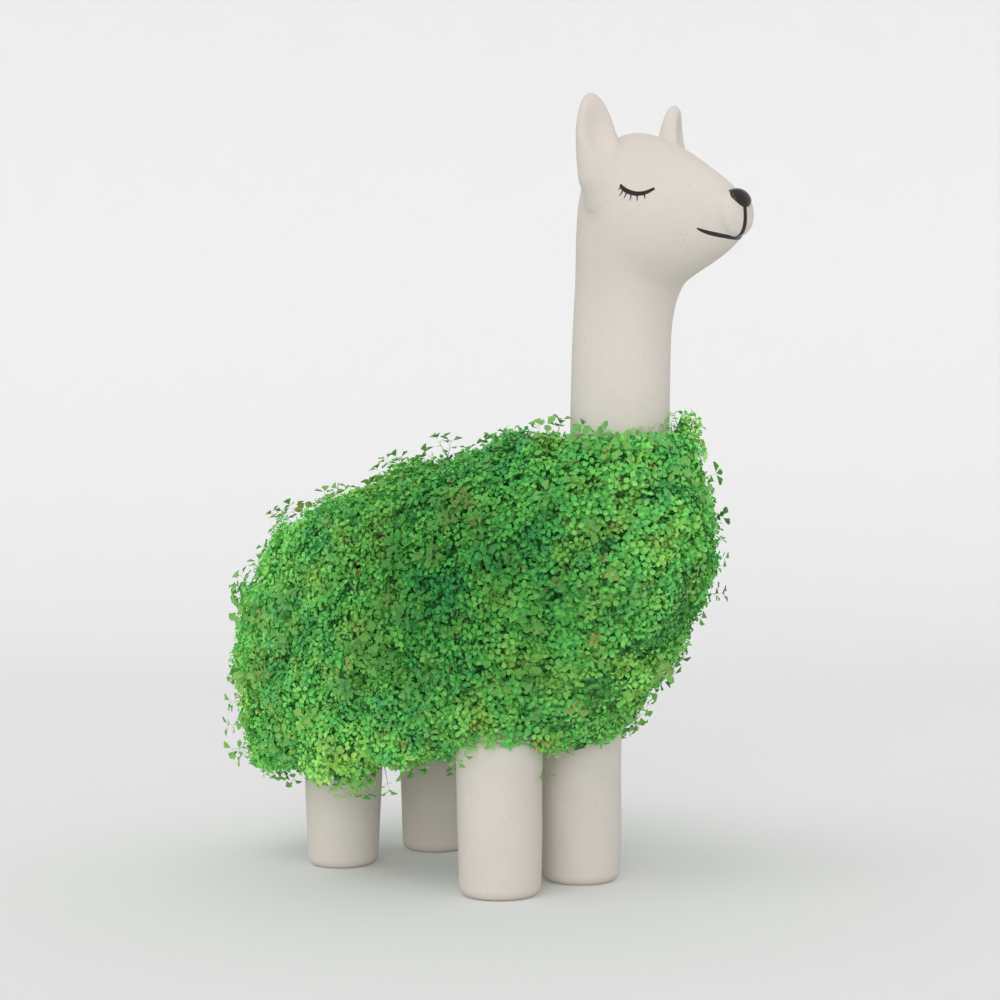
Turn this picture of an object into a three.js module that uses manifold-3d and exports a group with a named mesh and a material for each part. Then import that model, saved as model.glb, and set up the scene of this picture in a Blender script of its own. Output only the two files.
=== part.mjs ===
// Llama planter: a hollow grooved clay body on four legs, with neck, head, ears and tail,
// a ring of seeds in each groove and a row of leafy sprouts growing out of each ring.
// Millimetres, +X towards the nose, +Y to the animal's left, +Z up, feet on Z = 0.
import * as THREE from 'three';
import { mergeVertices } from 'three/addons/utils/BufferGeometryUtils.js';
import Module from 'manifold-3d';

const wasm = await Module();
wasm.setup();

// Legs, measured from the middle between the front and rear feet
const FRONT_LEG_X = 25.5;
const FRONT_LEG_INSET = 3.1; // how far inside the body's widest point the leg's side lies
const FRONT_FOOT_RADIUS = 9.3;
const FRONT_LEG_TOP_RADIUS = 9.8;
const REAR_LEG_X = -28.8;
const REAR_LEG_INSET = 0.9;
const REAR_FOOT_RADIUS = 8.6;
const REAR_LEG_TOP_RADIUS = 9.7;
const REAR_LEG_LEAN = 1.1; // the rear leg's top lies this much further forward than its foot
const FOOT_EDGE_RADIUS = 2.4;
const LEG_HEIGHT = 35.5; // also the height of the flat seats under the belly

// Body, bare clay
const LEG_ROOT_HEIGHT = 3; // how far the body's short leg roots stand out below the belly
const BODY_HEIGHT = 56.3;
const BODY_LENGTH = 112;
const BODY_HALF_WIDTH = 25.4;
const BODY_EDGE = 1.4; // height of the last ring of the surface next to the belly and the back
const WALL = 4.2;
const FLOOR_THICKNESS = 5;
const ROOF_THICKNESS = 4.6;
const OUTLINE_POWER = 2.4; // 2 gives an ellipse, more gives a squarer outline seen from above
const PLAN_TAPER = 0.15; // from above, the rump is this share wider than the middle, the chest narrower

// Seed grooves and what grows in them
const LOWEST_GROOVE_RISE = 6.5; // above the belly
const TOP_GROOVE_DROP = 8.8; // below the highest point of the back
const GROOVE_COUNT = 6;
const GROOVE_HALF_HEIGHT = 1.8;
const GROOVE_FLOOR_HALF_HEIGHT = 1.4;
const GROOVE_DEPTH = 1.4;
const CLEARANCE = 0.3;
const SEED_PROUD = 0.2; // how far a ring of seeds stands out of its groove
const SPROUT_CLEARANCE = 0.4; // round the clay and the rings of seeds

// Fill opening in the back
const FILL_X = -3;
const FILL_LENGTH = 37;
const FILL_WIDTH = 19;

// Neck and head
const NECK_X = 53;
const NECK_HALF_LENGTH = 12;
const NECK_HALF_WIDTH = 10.8;
const NECK_ROOT_HEIGHT = 2.2; // how far the body's neck root stands out above the back
const NECK_ROOT_DEPTH = 9;
const SKULL_HALF_WIDTH = 12.3;
const MUZZLE_HALF_WIDTH = 4.4;
const MUZZLE_TIP_SHARE = 0.1;
const MUZZLE_TIP_REACH = 2.6;

// Ears
const EAR_LENGTH = 18.5;
const EAR_WIDTH = 9.8;
const EAR_THICKNESS = 7.4; // at its foot
const EAR_THINNING = 0.35; // share of the thickness lost towards the tip
const EAR_TURN = 30; // degrees that the hollow front of an ear turns outwards from straight ahead
const EAR_HOLLOW = 1.7;
const EAR_LEAN_BACK = 1; // at the tip
const EAR_LEAN_OUT = 2;

// Tail
const TAIL_SEAT_PROUD = 3; // how far the flat seat stands out of the rump
const TAIL_SEAT_DEPTH = 12;
const TAIL_MIDDLE_RISE = 29; // above the belly
const TAIL_HEIGHT = 23;
const TAIL_HALF_WIDTH = 5.4;
const TAIL_REACH = 11;
const TAIL_DROOP = 3;

// Nose pad
const NOSE_PAD_WIDTH = 6;
const NOSE_PAD_HEIGHT = 4.8;
const NOSE_PAD_PROUD = 0.45;
const NOSE_PAD_SUNK = 0.6;

// Sprouts, thickness of the leafy growth beyond the clay
const GROWTH_SIDE_FRONT = 9;
const GROWTH_SIDE_REAR = 15.4;
const GROWTH_FRONT = 7;
const GROWTH_REAR = 15;
const GROWTH_TOP = 10.5;
const GROWTH_TOP_DIP = 16.5; // how much thinner the growth on the back is at the rump than at the neck
const GROWTH_UNDER = 7;
const GROWTH_UNDER_FRONT = 0.8; // how far the hanging edge stands out, as a share of the growth above it
const GROWTH_UNDER_REAR = 1.2;
const GROWTH_SAG = 12; // how much lower the lowest row hangs at the rump than at the chest
const GROWTH_ROUND_LEG = 1.2; // thickness of the growth that hangs round the top of a leg
const GROWTH_LUMP = 1; // leafy unevenness, in and out
const GROWTH_BELLY_BARE = 3; // the middle of the belly stays bare, this far in from its edge

// Fineness of the faceted surfaces
const BODY_POINTS = 32;
const HEAD_POINTS = 20;
const LEG_POINTS = 22;

// The side view of the bare body. At each height, a share of the body's height from belly to back:
// the chest's X and the rump's X as shares of the body's length, and the share of the full width
const BODY_SIDE_VIEW = [
  [0, 0.295, -0.366, 0.64],
  [0.044, 0.339, -0.393, 0.79],
  [0.133, 0.393, -0.409, 0.91],
  [0.258, 0.451, -0.413, 0.98],
  [0.4, 0.504, -0.407, 1],
  [0.56, 0.549, -0.384, 1],
  [0.684, 0.571, -0.348, 0.96],
  [0.79, 0.58, -0.295, 0.88],
  [0.879, 0.58, -0.219, 0.76],
  [0.941, 0.58, -0.121, 0.62],
  [0.979, 0.577, 0, 0.46],
  [1, 0.571, 0.161, 0.3],
];

// Places that follow from the sizes above
const BELLY_Z = LEG_HEIGHT + LEG_ROOT_HEIGHT;
const BODY_TOP_Z = BELLY_Z + BODY_HEIGHT;
const LOWEST_GROOVE_Z = BELLY_Z + LOWEST_GROOVE_RISE;
const GROOVE_PITCH = (BODY_TOP_Z - TOP_GROOVE_DROP - LOWEST_GROOVE_Z) / (GROOVE_COUNT - 1);
const NECK_SEAT_Z = BODY_TOP_Z + NECK_ROOT_HEIGHT;
const TAIL_MIDDLE_Z = BELLY_Z + TAIL_MIDDLE_RISE;
const TAIL_BOTTOM_Z = TAIL_MIDDLE_Z - TAIL_HEIGHT / 2;
const TAIL_TOP_Z = TAIL_MIDDLE_Z + TAIL_HEIGHT / 2;

// The head grows with the neck: places on it are given in half lengths of the neck, from its seat
const EAR_X = NECK_X + 0.42 * NECK_HALF_LENGTH;
const EAR_Y = 0.91 * SKULL_HALF_WIDTH;
const EAR_SEAT_Z = NECK_SEAT_Z + 4.96 * NECK_HALF_LENGTH;
const NOSE_Z = NECK_SEAT_Z + 4.45 * NECK_HALF_LENGTH;
const NOSE_PAD_BACK_X = NECK_X + 2.65 * NECK_HALF_LENGTH;

// Colours
const CLAY = { color: 0xd9d1c8, roughness: 0.85, metalness: 0 };
const GLAZE_BLACK = { color: 0x191613, roughness: 0.3, metalness: 0 };
const SEED_BROWN = { color: 0x5b4630, roughness: 0.95, metalness: 0 };
const LEAF_GREENS = [0x2f7a2c, 0x358733, 0x3c9238, 0x459b3e, 0x4ea545, 0x5aae4b];

// Turns a closed geometry into a solid that can be joined and cut
function solid(geometry) {
  const bare = geometry.clone();
  bare.deleteAttribute('normal');
  bare.deleteAttribute('uv');
  const merged = mergeVertices(bare, 1e-4);
  return new wasm.Manifold(new wasm.Mesh({
    numProp: 3,
    vertProperties: new Float32Array(merged.attributes.position.array),
    triVerts: new Uint32Array(merged.index.array),
  }));
}

// Turns a solid back into a geometry for display
function geometryOf(body) {
  const mesh = body.getMesh();
  const geometry = new THREE.BufferGeometry();
  geometry.setAttribute('position', new THREE.BufferAttribute(new Float32Array(mesh.vertProperties), 3));
  geometry.setIndex(new THREE.BufferAttribute(new Uint32Array(mesh.triVerts), 1));
  geometry.computeVertexNormals();
  return geometry;
}

function piece(name, geometry, look) {
  const mesh = new THREE.Mesh(geometry, new THREE.MeshStandardMaterial(look));
  mesh.name = name;
  return mesh;
}

// Signed volume of an indexed geometry, used to turn its faces outwards
function signedVolume(points, index) {
  let sum = 0;
  for (let i = 0; i < index.length; i += 3) {
    const [a, b, c] = [points[index[i]], points[index[i + 1]], points[index[i + 2]]];
    sum += a.dot(new THREE.Vector3().crossVectors(b, c));
  }
  return sum / 6;
}

// A closed skin over a row of rings of equally many points. The ends are closed by flat fans, or the
// last ring is joined to the first where the rings go round a hole.
function loft(rings, endless = false) {
  const count = rings[0].length;
  const points = rings.flat();
  const index = [];
  const bands = endless ? rings.length : rings.length - 1;
  for (let j = 0; j < bands; j += 1) {
    const low = j * count;
    const high = ((j + 1) % rings.length) * count;
    for (let i = 0; i < count; i += 1) {
      const next = (i + 1) % count;
      index.push(low + i, low + next, high + next, low + i, high + next, high + i);
    }
  }
  if (!endless) {
    for (const [ring, flip] of [[0, true], [rings.length - 1, false]]) {
      const middle = new THREE.Vector3();
      rings[ring].forEach((p) => middle.add(p));
      points.push(middle.divideScalar(count));
      for (let i = 0; i < count; i += 1) {
        const a = ring * count + i;
        const b = ring * count + ((i + 1) % count);
        index.push(...(flip ? [b, a, points.length - 1] : [a, b, points.length - 1]));
      }
    }
  }
  if (signedVolume(points, index) < 0) {
    index.reverse();
  }
  const geometry = new THREE.BufferGeometry().setFromPoints(points);
  geometry.setIndex(index);
  geometry.computeVertexNormals();
  return geometry;
}

// Smooth curve through the rows of a table, read at the height in the first column
function tableReader(rows, column) {
  const heights = rows.map((row) => row[0]);
  const values = rows.map((row) => row[column]);
  return (z) => {
    const last = heights.length - 1;
    if (z <= heights[0]) return values[0];
    if (z >= heights[last]) return values[last];
    let k = 0;
    while (heights[k + 1] < z) k += 1;
    const slope = (i) => {
      const a = Math.max(0, i - 1);
      const b = Math.min(last, i + 1);
      return (values[b] - values[a]) / (heights[b] - heights[a]);
    };
    const step = heights[k + 1] - heights[k];
    const t = (z - heights[k]) / step;
    const keep = 1 - t;
    return keep * keep * (1 + 2 * t) * values[k] + t * t * (3 - 2 * t) * values[k + 1]
      + step * t * keep * (keep * slope(k) - t * slope(k + 1));
  };
}

const bodyRows = BODY_SIDE_VIEW.map(([height, chest, rump, width]) => [
  BELLY_Z + height * BODY_HEIGHT, chest * BODY_LENGTH, rump * BODY_LENGTH, width,
]);
const chestX = tableReader(bodyRows, 1);
const rumpX = tableReader(bodyRows, 2);
const widthShare = tableReader(bodyRows, 3);
const TAIL_SEAT_X = rumpX(TAIL_MIDDLE_Z) - TAIL_SEAT_PROUD;

// The body's outline at a height, moved outwards by an amount that may differ by direction
function bodyOutline(z, grow, count, height = z) {
  const middle = (chestX(z) + rumpX(z)) / 2;
  const halfLength = (chestX(z) - rumpX(z)) / 2;
  const halfWidth = BODY_HALF_WIDTH * widthShare(z);
  const fine = 4 * count;
  const points = [];
  for (let i = 0; i < fine; i += 1) {
    const angle = (2 * Math.PI * i) / fine;
    const c = Math.cos(angle);
    const s = Math.sin(angle);
    const x = halfLength * Math.sign(c) * Math.abs(c) ** (2 / OUTLINE_POWER);
    const y = halfWidth * (1 - PLAN_TAPER * c) * Math.sign(s) * Math.abs(s) ** (2 / OUTLINE_POWER);
    const normal = new THREE.Vector2(
      Math.sign(c) * Math.abs(c) ** (2 - 2 / OUTLINE_POWER) / halfLength,
      Math.sign(s) * Math.abs(s) ** (2 - 2 / OUTLINE_POWER) / halfWidth,
    ).normalize();
    const out = typeof grow === 'function' ? grow(normal, angle) : grow;
    points.push(new THREE.Vector3(middle + x + out * normal.x, y + out * normal.y, height));
  }
  const curve = new THREE.CatmullRomCurve3(points, true, 'centripetal');
  curve.arcLengthDivisions = 2 * fine;
  return curve.getSpacedPoints(count).slice(0, count);
}

// Body shell
const grooveHeights = [];
for (let i = 0; i < GROOVE_COUNT; i += 1) {
  grooveHeights.push(LOWEST_GROOVE_Z + i * GROOVE_PITCH);
}

// A groove as four rings: its lower edge, its floor and its upper edge. The floor lies parallel to the
// body's surface, moved inwards by the groove's depth.
function grooveRings(z, edge = 0) {
  return [
    bodyOutline(z - GROOVE_HALF_HEIGHT, edge, BODY_POINTS),
    bodyOutline(z - GROOVE_FLOOR_HALF_HEIGHT, -GROOVE_DEPTH, BODY_POINTS),
    bodyOutline(z + GROOVE_FLOOR_HALF_HEIGHT, -GROOVE_DEPTH, BODY_POINTS),
    bodyOutline(z + GROOVE_HALF_HEIGHT, edge, BODY_POINTS),
  ];
}

// The body's outside, moved outwards by an amount, with or without its grooves
function bodyForm(grow, grooved) {
  const rings = [BELLY_Z, BELLY_Z + BODY_EDGE].map((z) => bodyOutline(z, grow, BODY_POINTS));
  grooveHeights.forEach((z, i) => {
    const edges = [z - GROOVE_HALF_HEIGHT, z + GROOVE_HALF_HEIGHT];
    // The lowest groove is cut later, because it runs through the leg roots too
    rings.push(...(grooved && i > 0 ? grooveRings(z) : edges.map((h) => bodyOutline(h, grow, BODY_POINTS))));
  });
  rings.push(...[BODY_TOP_Z - BODY_EDGE, BODY_TOP_Z].map((z) => bodyOutline(z, grow, BODY_POINTS)));
  return rings;
}

// What is cut away for the lowest groove, out past the leg roots
function lowestGrooveCut() {
  return solid(loft(grooveRings(LOWEST_GROOVE_Z, GROOVE_PITCH), true));
}

// The hollow: the body's own form set in at the sides, and lowered and raised for roof and floor
function cavity() {
  const heights = bodyRows.map((row) => row[0]).filter((z, i) => i % 2 === 0 || i > 8);
  const form = (grow) => solid(loft(heights.map((z) => bodyOutline(z, grow, BODY_POINTS / 2))));
  return form(-WALL)
    .intersect(form(0).translate([0, 0, -ROOF_THICKNESS]))
    .intersect(form(0).translate([0, 0, FLOOR_THICKNESS]));
}

function ellipseColumn(x, halfLength, halfWidth, bottom, top, count) {
  const shape = new THREE.Shape();
  shape.absellipse(x, 0, halfLength, halfWidth, 0, 2 * Math.PI, false, 0);
  const geometry = new THREE.ExtrudeGeometry(shape, {
    depth: top - bottom,
    bevelEnabled: false,
    curveSegments: count,
  });
  geometry.translate(0, 0, bottom);
  return geometry;
}

// A leg as a turned profile. The body's short leg roots and the room round a leg use it too.
function turned(profile, x, y, lean, leanFrom, leanTo) {
  const geometry = new THREE.LatheGeometry(profile.map(([r, z]) => new THREE.Vector2(r, z)), LEG_POINTS);
  geometry.rotateX(Math.PI / 2);
  const position = geometry.attributes.position;
  for (let i = 0; i < position.count; i += 1) {
    const share = (position.getZ(i) - leanFrom) / (leanTo - leanFrom);
    position.setX(i, position.getX(i) + lean * share);
  }
  geometry.translate(x, y, 0);
  return geometry;
}

const legs = [];
for (const [side, sign] of [['left', 1], ['right', -1]]) {
  legs.push({
    name: `leg_front_${side}`,
    x: FRONT_LEG_X,
    y: sign * (BODY_HALF_WIDTH - FRONT_LEG_INSET - FRONT_LEG_TOP_RADIUS),
    foot: FRONT_FOOT_RADIUS,
    top: FRONT_LEG_TOP_RADIUS,
    lean: 0,
  });
  legs.push({
    name: `leg_rear_${side}`,
    x: REAR_LEG_X,
    y: sign * (BODY_HALF_WIDTH - REAR_LEG_INSET - REAR_LEG_TOP_RADIUS),
    foot: REAR_FOOT_RADIUS,
    top: REAR_LEG_TOP_RADIUS,
    lean: REAR_LEG_LEAN,
  });
}

function legGeometry(leg) {
  const profile = [[0, 0]];
  const steps = 4;
  for (let i = 0; i <= steps; i += 1) {
    const angle = (Math.PI / 2) * (i / steps);
    profile.push([
      leg.foot - FOOT_EDGE_RADIUS + FOOT_EDGE_RADIUS * Math.sin(angle),
      FOOT_EDGE_RADIUS - FOOT_EDGE_RADIUS * Math.cos(angle),
    ]);
  }
  profile.push([leg.top, LEG_HEIGHT], [0, LEG_HEIGHT]);
  return turned(profile, leg.x, leg.y, leg.lean, 0, LEG_HEIGHT);
}

// The leg's outline carried straight on between two heights, wider by a clearance
function legColumn(leg, bottom, top, clearance) {
  const radius = leg.top + clearance;
  const profile = [[0, bottom], [radius, bottom], [radius, top], [0, top]];
  return turned(profile, leg.x + leg.lean, leg.y, 0, bottom, top);
}

// The short root that the body offers a leg, with a sloping shoulder above. Grown by a clearance and
// begun below the ground, it is the room that the sprouts leave for the leg.
function legRoot(leg, bottom = LEG_HEIGHT, clearance = 0) {
  const radius = leg.top + clearance;
  const profile = [
    [0, bottom], [radius, bottom], [radius, LEG_HEIGHT + 0.4 * radius],
    [radius * 0.75, LEG_HEIGHT + 0.9 * radius], [0, LEG_HEIGHT + 1.1 * radius],
  ];
  return turned(profile, leg.x + leg.lean, leg.y, 0, 0, LEG_HEIGHT);
}

function fillOpening(grow = 0) {
  return ellipseColumn(
    FILL_X, FILL_LENGTH / 2 + grow, FILL_WIDTH / 2 + grow,
    BODY_TOP_Z - 1.3 * FILL_WIDTH, BODY_TOP_Z + 1.5 * FILL_WIDTH, 16,
  );
}

function bodyShell() {
  let body = solid(loft(bodyForm(0, true)));
  for (const leg of legs) {
    body = body.add(solid(legRoot(leg)));
  }
  const neckRoot = ellipseColumn(
    NECK_X, NECK_HALF_LENGTH, NECK_HALF_WIDTH, NECK_SEAT_Z - NECK_ROOT_DEPTH, NECK_SEAT_Z, HEAD_POINTS / 2,
  );
  body = body.add(solid(neckRoot));
  body = body.add(solid(tailSeat()));
  return body.subtract(lowestGrooveCut()).subtract(cavity()).subtract(solid(fillOpening()));
}

// Tail: a teardrop against a flat seat on the rump
function tailOutline(grow) {
  const shape = new THREE.Shape();
  const count = 18;
  const points = [];
  for (let i = 0; i < count; i += 1) {
    const angle = (2 * Math.PI * i) / count;
    const up = Math.sin(angle);
    const narrow = 1 - 0.3 * up;
    points.push(new THREE.Vector2(
      (TAIL_HALF_WIDTH + grow) * Math.cos(angle) * narrow,
      TAIL_MIDDLE_Z + (TAIL_HEIGHT / 2 + grow) * up,
    ));
  }
  shape.setFromPoints(points);
  return { shape, points };
}

// An outline in the YZ plane, drawn out along X
function alongX(shape, from, to) {
  const geometry = new THREE.ExtrudeGeometry(shape, { depth: to - from, bevelEnabled: false });
  geometry.rotateX(Math.PI / 2);
  geometry.rotateZ(Math.PI / 2);
  geometry.translate(from, 0, 0);
  return geometry;
}

function tailSeat() {
  return alongX(tailOutline(0).shape, TAIL_SEAT_X, TAIL_SEAT_X + TAIL_SEAT_DEPTH);
}

// The room round the tail and its seat, open to the rear
function tailRoom(clearance) {
  const outside = TAIL_SEAT_X - 4 * TAIL_REACH;
  return solid(alongX(tailOutline(clearance).shape, outside, TAIL_SEAT_X + TAIL_SEAT_DEPTH));
}

function tailGeometry() {
  const { points } = tailOutline(0);
  const steps = 6;
  const rings = [];
  for (let i = 0; i < steps; i += 1) {
    const angle = (Math.PI / 2) * (i / steps);
    const share = Math.cos(angle);
    rings.push(points.map((p) => new THREE.Vector3(
      TAIL_SEAT_X - TAIL_REACH * Math.sin(angle),
      p.x * share,
      TAIL_MIDDLE_Z + (p.y - TAIL_MIDDLE_Z) * share - TAIL_DROOP * Math.sin(angle),
    )));
  }
  return loft(rings);
}

// Neck and head: rings between two rails in the side view, the back of the animal and its front,
// given as X from the neck's middle and Z from its seat, in half lengths of the neck
const BACK_RAIL = [
  [-1, 0], [-1, 1.25], [-1, 2.58], [-0.98, 3.58], [-0.93, 4.42], [-0.77, 5.12], [-0.33, 5.67],
  [0.33, 5.88], [1, 5.72], [1.58, 5.42], [2.04, 5.13], [2.42, 4.87], [2.67, 4.65],
];
const FRONT_RAIL = [
  [1, 0], [1, 0.92], [1, 1.75], [1, 2.42], [1.05, 2.78], [1.22, 3.05], [1.45, 3.18],
  [1.7, 3.28], [1.95, 3.37], [2.18, 3.47], [2.4, 3.58], [2.58, 3.7], [2.72, 3.83],
];
const skullToMuzzle = (share) => THREE.MathUtils.lerp(SKULL_HALF_WIDTH, MUZZLE_HALF_WIDTH, share);
const HEAD_WIDTHS = [
  [0, NECK_HALF_WIDTH], [0.25, NECK_HALF_WIDTH], [0.36, (NECK_HALF_WIDTH + SKULL_HALF_WIDTH) / 2],
  [0.48, skullToMuzzle(0)], [0.58, skullToMuzzle(0.1)], [0.7, skullToMuzzle(0.43)],
  [0.82, skullToMuzzle(0.75)], [0.93, skullToMuzzle(0.94)], [1, skullToMuzzle(1)],
];
const headWidth = tableReader(HEAD_WIDTHS, 1);

function railCurve(rail) {
  return new THREE.CatmullRomCurve3(
    rail.map(([x, z]) => new THREE.Vector3(
      NECK_X + x * NECK_HALF_LENGTH, 0, NECK_SEAT_Z + z * NECK_HALF_LENGTH,
    )), false, 'centripetal',
  );
}

// One ring across the head. Share runs from 0 at the neck's foot to 1 near the nose; past 1 the
// rings shrink and move forwards to round off the tip of the muzzle.
function headRing(share, grow) {
  const t = Math.min(share, 1);
  const back = railCurve(BACK_RAIL).getPoint(t);
  const front = railCurve(FRONT_RAIL).getPoint(t);
  const middle = back.clone().add(front).multiplyScalar(0.5);
  const half = back.clone().sub(front).multiplyScalar(0.5);
  const forward = new THREE.Vector3(half.z, 0, -half.x).normalize();
  const halfHeight = half.length() + grow;
  half.normalize();
  const halfWidth = headWidth(t) + grow;
  const past = Math.min(1, Math.max(0, share - 1) / MUZZLE_TIP_SHARE);
  const shrink = Math.max(0, 1 - past ** 2.5) ** 0.4;
  middle.addScaledVector(forward, past * (MUZZLE_TIP_REACH + grow));
  const ring = [];
  for (let i = 0; i < HEAD_POINTS; i += 1) {
    const angle = (2 * Math.PI * i) / HEAD_POINTS;
    ring.push(middle.clone()
      .addScaledVector(half, halfHeight * shrink * Math.cos(angle))
      .add(new THREE.Vector3(0, halfWidth * shrink * Math.sin(angle), 0)));
  }
  return ring;
}

function headSolid(grow = 0) {
  const rings = [];
  const steps = 24;
  for (let i = 0; i <= steps; i += 1) {
    rings.push(headRing(i / steps, grow));
  }
  const tipSteps = 4;
  for (let i = 1; i < tipSteps; i += 1) {
    rings.push(headRing(1 + MUZZLE_TIP_SHARE * Math.sin((Math.PI / 2) * (i / tipSteps)), grow));
  }
  if (grow !== 0) {
    rings[0].forEach((p) => p.setZ(NECK_SEAT_Z - Math.abs(grow)));
  }
  return solid(loft(rings));
}

// A rounded triangle, the nose seen from the front, point down
function noseOutline(grow) {
  const w = NOSE_PAD_WIDTH / 2 + grow;
  const h = NOSE_PAD_HEIGHT / 2 + grow;
  const shape = new THREE.Shape();
  shape.moveTo(0, NOSE_Z - h);
  shape.bezierCurveTo(w * 0.5, NOSE_Z - h, w, NOSE_Z, w, NOSE_Z + h * 0.4);
  shape.bezierCurveTo(w, NOSE_Z + h * 0.9, w * 0.5, NOSE_Z + h, 0, NOSE_Z + h);
  shape.bezierCurveTo(-w * 0.5, NOSE_Z + h, -w, NOSE_Z + h * 0.9, -w, NOSE_Z + h * 0.4);
  shape.bezierCurveTo(-w, NOSE_Z, -w * 0.5, NOSE_Z - h, 0, NOSE_Z - h);
  return shape;
}

// Ear: a pointed leaf, thick at the foot, with its front hollowed
function earBlade(grow) {
  const steps = 8;
  const count = 14;
  const rings = [];
  for (let j = 0; j < steps; j += 1) {
    const up = j / (steps - 1);
    const share = Math.sqrt(Math.max(0.02, 1 - up ** 2.4));
    const thickness = EAR_THICKNESS * (1 - EAR_THINNING * up);
    const ring = [];
    for (let i = 0; i < count; i += 1) {
      const angle = (2 * Math.PI * i) / count;
      ring.push(new THREE.Vector3(
        (thickness / 2 + grow) * share * Math.sin(angle),
        (EAR_WIDTH / 2 + grow) * share * Math.cos(angle),
        EAR_SEAT_Z + EAR_LENGTH * up,
      ));
    }
    rings.push(ring);
  }
  return loft(rings);
}

function earScoop() {
  const scoop = new THREE.SphereGeometry(1, 12, 8);
  scoop.scale(EAR_HOLLOW * 1.6, EAR_WIDTH * 0.3, EAR_LENGTH * 0.36);
  scoop.translate(EAR_THICKNESS * 0.42, 0, EAR_SEAT_Z + EAR_LENGTH * 0.56);
  return scoop;
}

// Turns an ear outwards, leans it back and out, and moves it to its side of the head
function placeEar(geometry, sign) {
  geometry.rotateZ(sign * THREE.MathUtils.degToRad(EAR_TURN));
  const position = geometry.attributes.position;
  for (let i = 0; i < position.count; i += 1) {
    const up = (position.getZ(i) - EAR_SEAT_Z) / EAR_LENGTH;
    position.setX(i, position.getX(i) - EAR_LEAN_BACK * up);
    position.setY(i, position.getY(i) + sign * EAR_LEAN_OUT * up);
  }
  geometry.translate(EAR_X, sign * EAR_Y, 0);
  return solid(geometry);
}

function neckAndHead() {
  let head = headSolid();
  for (const sign of [1, -1]) {
    const room = placeEar(earBlade(CLEARANCE), sign);
    head = head.subtract(room);
  }
  const recess = solid(alongX(noseOutline(CLEARANCE), NOSE_PAD_BACK_X, NOSE_PAD_BACK_X + 3 * NOSE_PAD_WIDTH))
    .subtract(headSolid(-NOSE_PAD_SUNK - CLEARANCE));
  return head.subtract(recess);
}

function nosePad() {
  return solid(alongX(noseOutline(0), NOSE_PAD_BACK_X + CLEARANCE, NOSE_PAD_BACK_X + 3 * NOSE_PAD_WIDTH))
    .intersect(headSolid(NOSE_PAD_PROUD))
    .subtract(headSolid(-NOSE_PAD_SUNK));
}

// A ring of seeds: it lies in its groove, follows the clay's surface outside and leaves out the tail
function seedMat(z) {
  const half = GROOVE_FLOOR_HALF_HEIGHT - CLEARANCE;
  const inner = -GROOVE_DEPTH + CLEARANCE;
  const ring = solid(loft([
    bodyOutline(z - half, inner, BODY_POINTS),
    bodyOutline(z - half, SEED_PROUD, BODY_POINTS),
    bodyOutline(z + half, SEED_PROUD, BODY_POINTS),
    bodyOutline(z + half, inner, BODY_POINTS),
  ], true));
  const byTail = z + half > TAIL_BOTTOM_Z - CLEARANCE && z - half < TAIL_TOP_Z + CLEARANCE;
  return byTail ? ring.subtract(tailRoom(CLEARANCE)) : ring;
}

// Uneven in a fixed way, alike on both sides of the animal: a number from -1 to 1
function uneven(around, row) {
  const mirrored = Math.min(around, BODY_POINTS - around);
  const wave = Math.sin(mirrored * 12.9898 + row * 78.233) * 43758.5453;
  return 2 * (wave - Math.floor(wave)) - 1;
}

// How far the leafy surface lies above or below the clay that it grows from. Facing is how much the
// clay faces up (above 0) or down (below 0) at that height.
function growthLift(z) {
  const rise = BODY_HEIGHT / 100;
  const fall = BODY_HALF_WIDTH * (widthShare(z - rise) - widthShare(z + rise));
  const facing = Math.sin(Math.atan2(fall, 2 * rise));
  return { facing, lift: (facing > 0 ? GROWTH_TOP : GROWTH_UNDER) * facing };
}

// The leafy surface's outline at a height
function growthOutline(height, row) {
  let low = BELLY_Z;
  let high = BODY_TOP_Z;
  for (let i = 0; i < 40; i += 1) {
    const middle = (low + high) / 2;
    if (middle + growthLift(middle).lift < height) low = middle;
    else high = middle;
  }
  const { facing } = growthLift(low);
  const middle = (chestX(low) + rumpX(low)) / 2;
  const grow = (normal, angle) => {
    const rear = 0.5 - 0.5 * Math.cos(angle);
    const side = THREE.MathUtils.lerp(GROWTH_SIDE_FRONT, GROWTH_SIDE_REAR, rear);
    const ends = normal.x > 0 ? GROWTH_FRONT : GROWTH_REAR;
    const level = Math.sqrt(1 - facing ** 2);
    const under = Math.max(level, THREE.MathUtils.lerp(GROWTH_UNDER_FRONT, GROWTH_UNDER_REAR, rear));
    return (facing > 0 ? level : under) * (side * normal.y ** 2 + ends * normal.x ** 2);
  };
  return bodyOutline(low, grow, BODY_POINTS, height).map((point, i) => {
    const outwards = new THREE.Vector3(point.x - middle, point.y, 0).normalize();
    return point.addScaledVector(outwards, GROWTH_LUMP * uneven(i, row));
  });
}

const GROWTH_BOTTOM_Z = BELLY_Z + growthLift(BELLY_Z).lift;
const GROWTH_TOP_Z = BODY_TOP_Z + growthLift(BODY_TOP_Z).lift;

// The room that a row leaves for the clay, for the rings of seeds and for the bare belly
function bareBodyRoom() {
  const gap = SEED_PROUD + SPROUT_CLEARANCE;
  const rings = bodyForm(gap, false);
  rings[rings.length - 1].forEach((p) => p.setZ(BODY_TOP_Z + gap));
  const under = bodyOutline(BELLY_Z, -GROWTH_BELLY_BARE, BODY_POINTS, 0);
  const edge = bodyOutline(BELLY_Z, -GROWTH_BELLY_BARE, BODY_POINTS, BELLY_Z - gap);
  return solid(loft([under, edge, ...rings]));
}

// 0 at the chest and 1 at the rump
function rearShare(x) {
  const chest = chestX(LOWEST_GROOVE_Z);
  return Math.min(1, Math.max(0, (chest - x) / (chest - rumpX(LOWEST_GROOVE_Z))));
}

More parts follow.
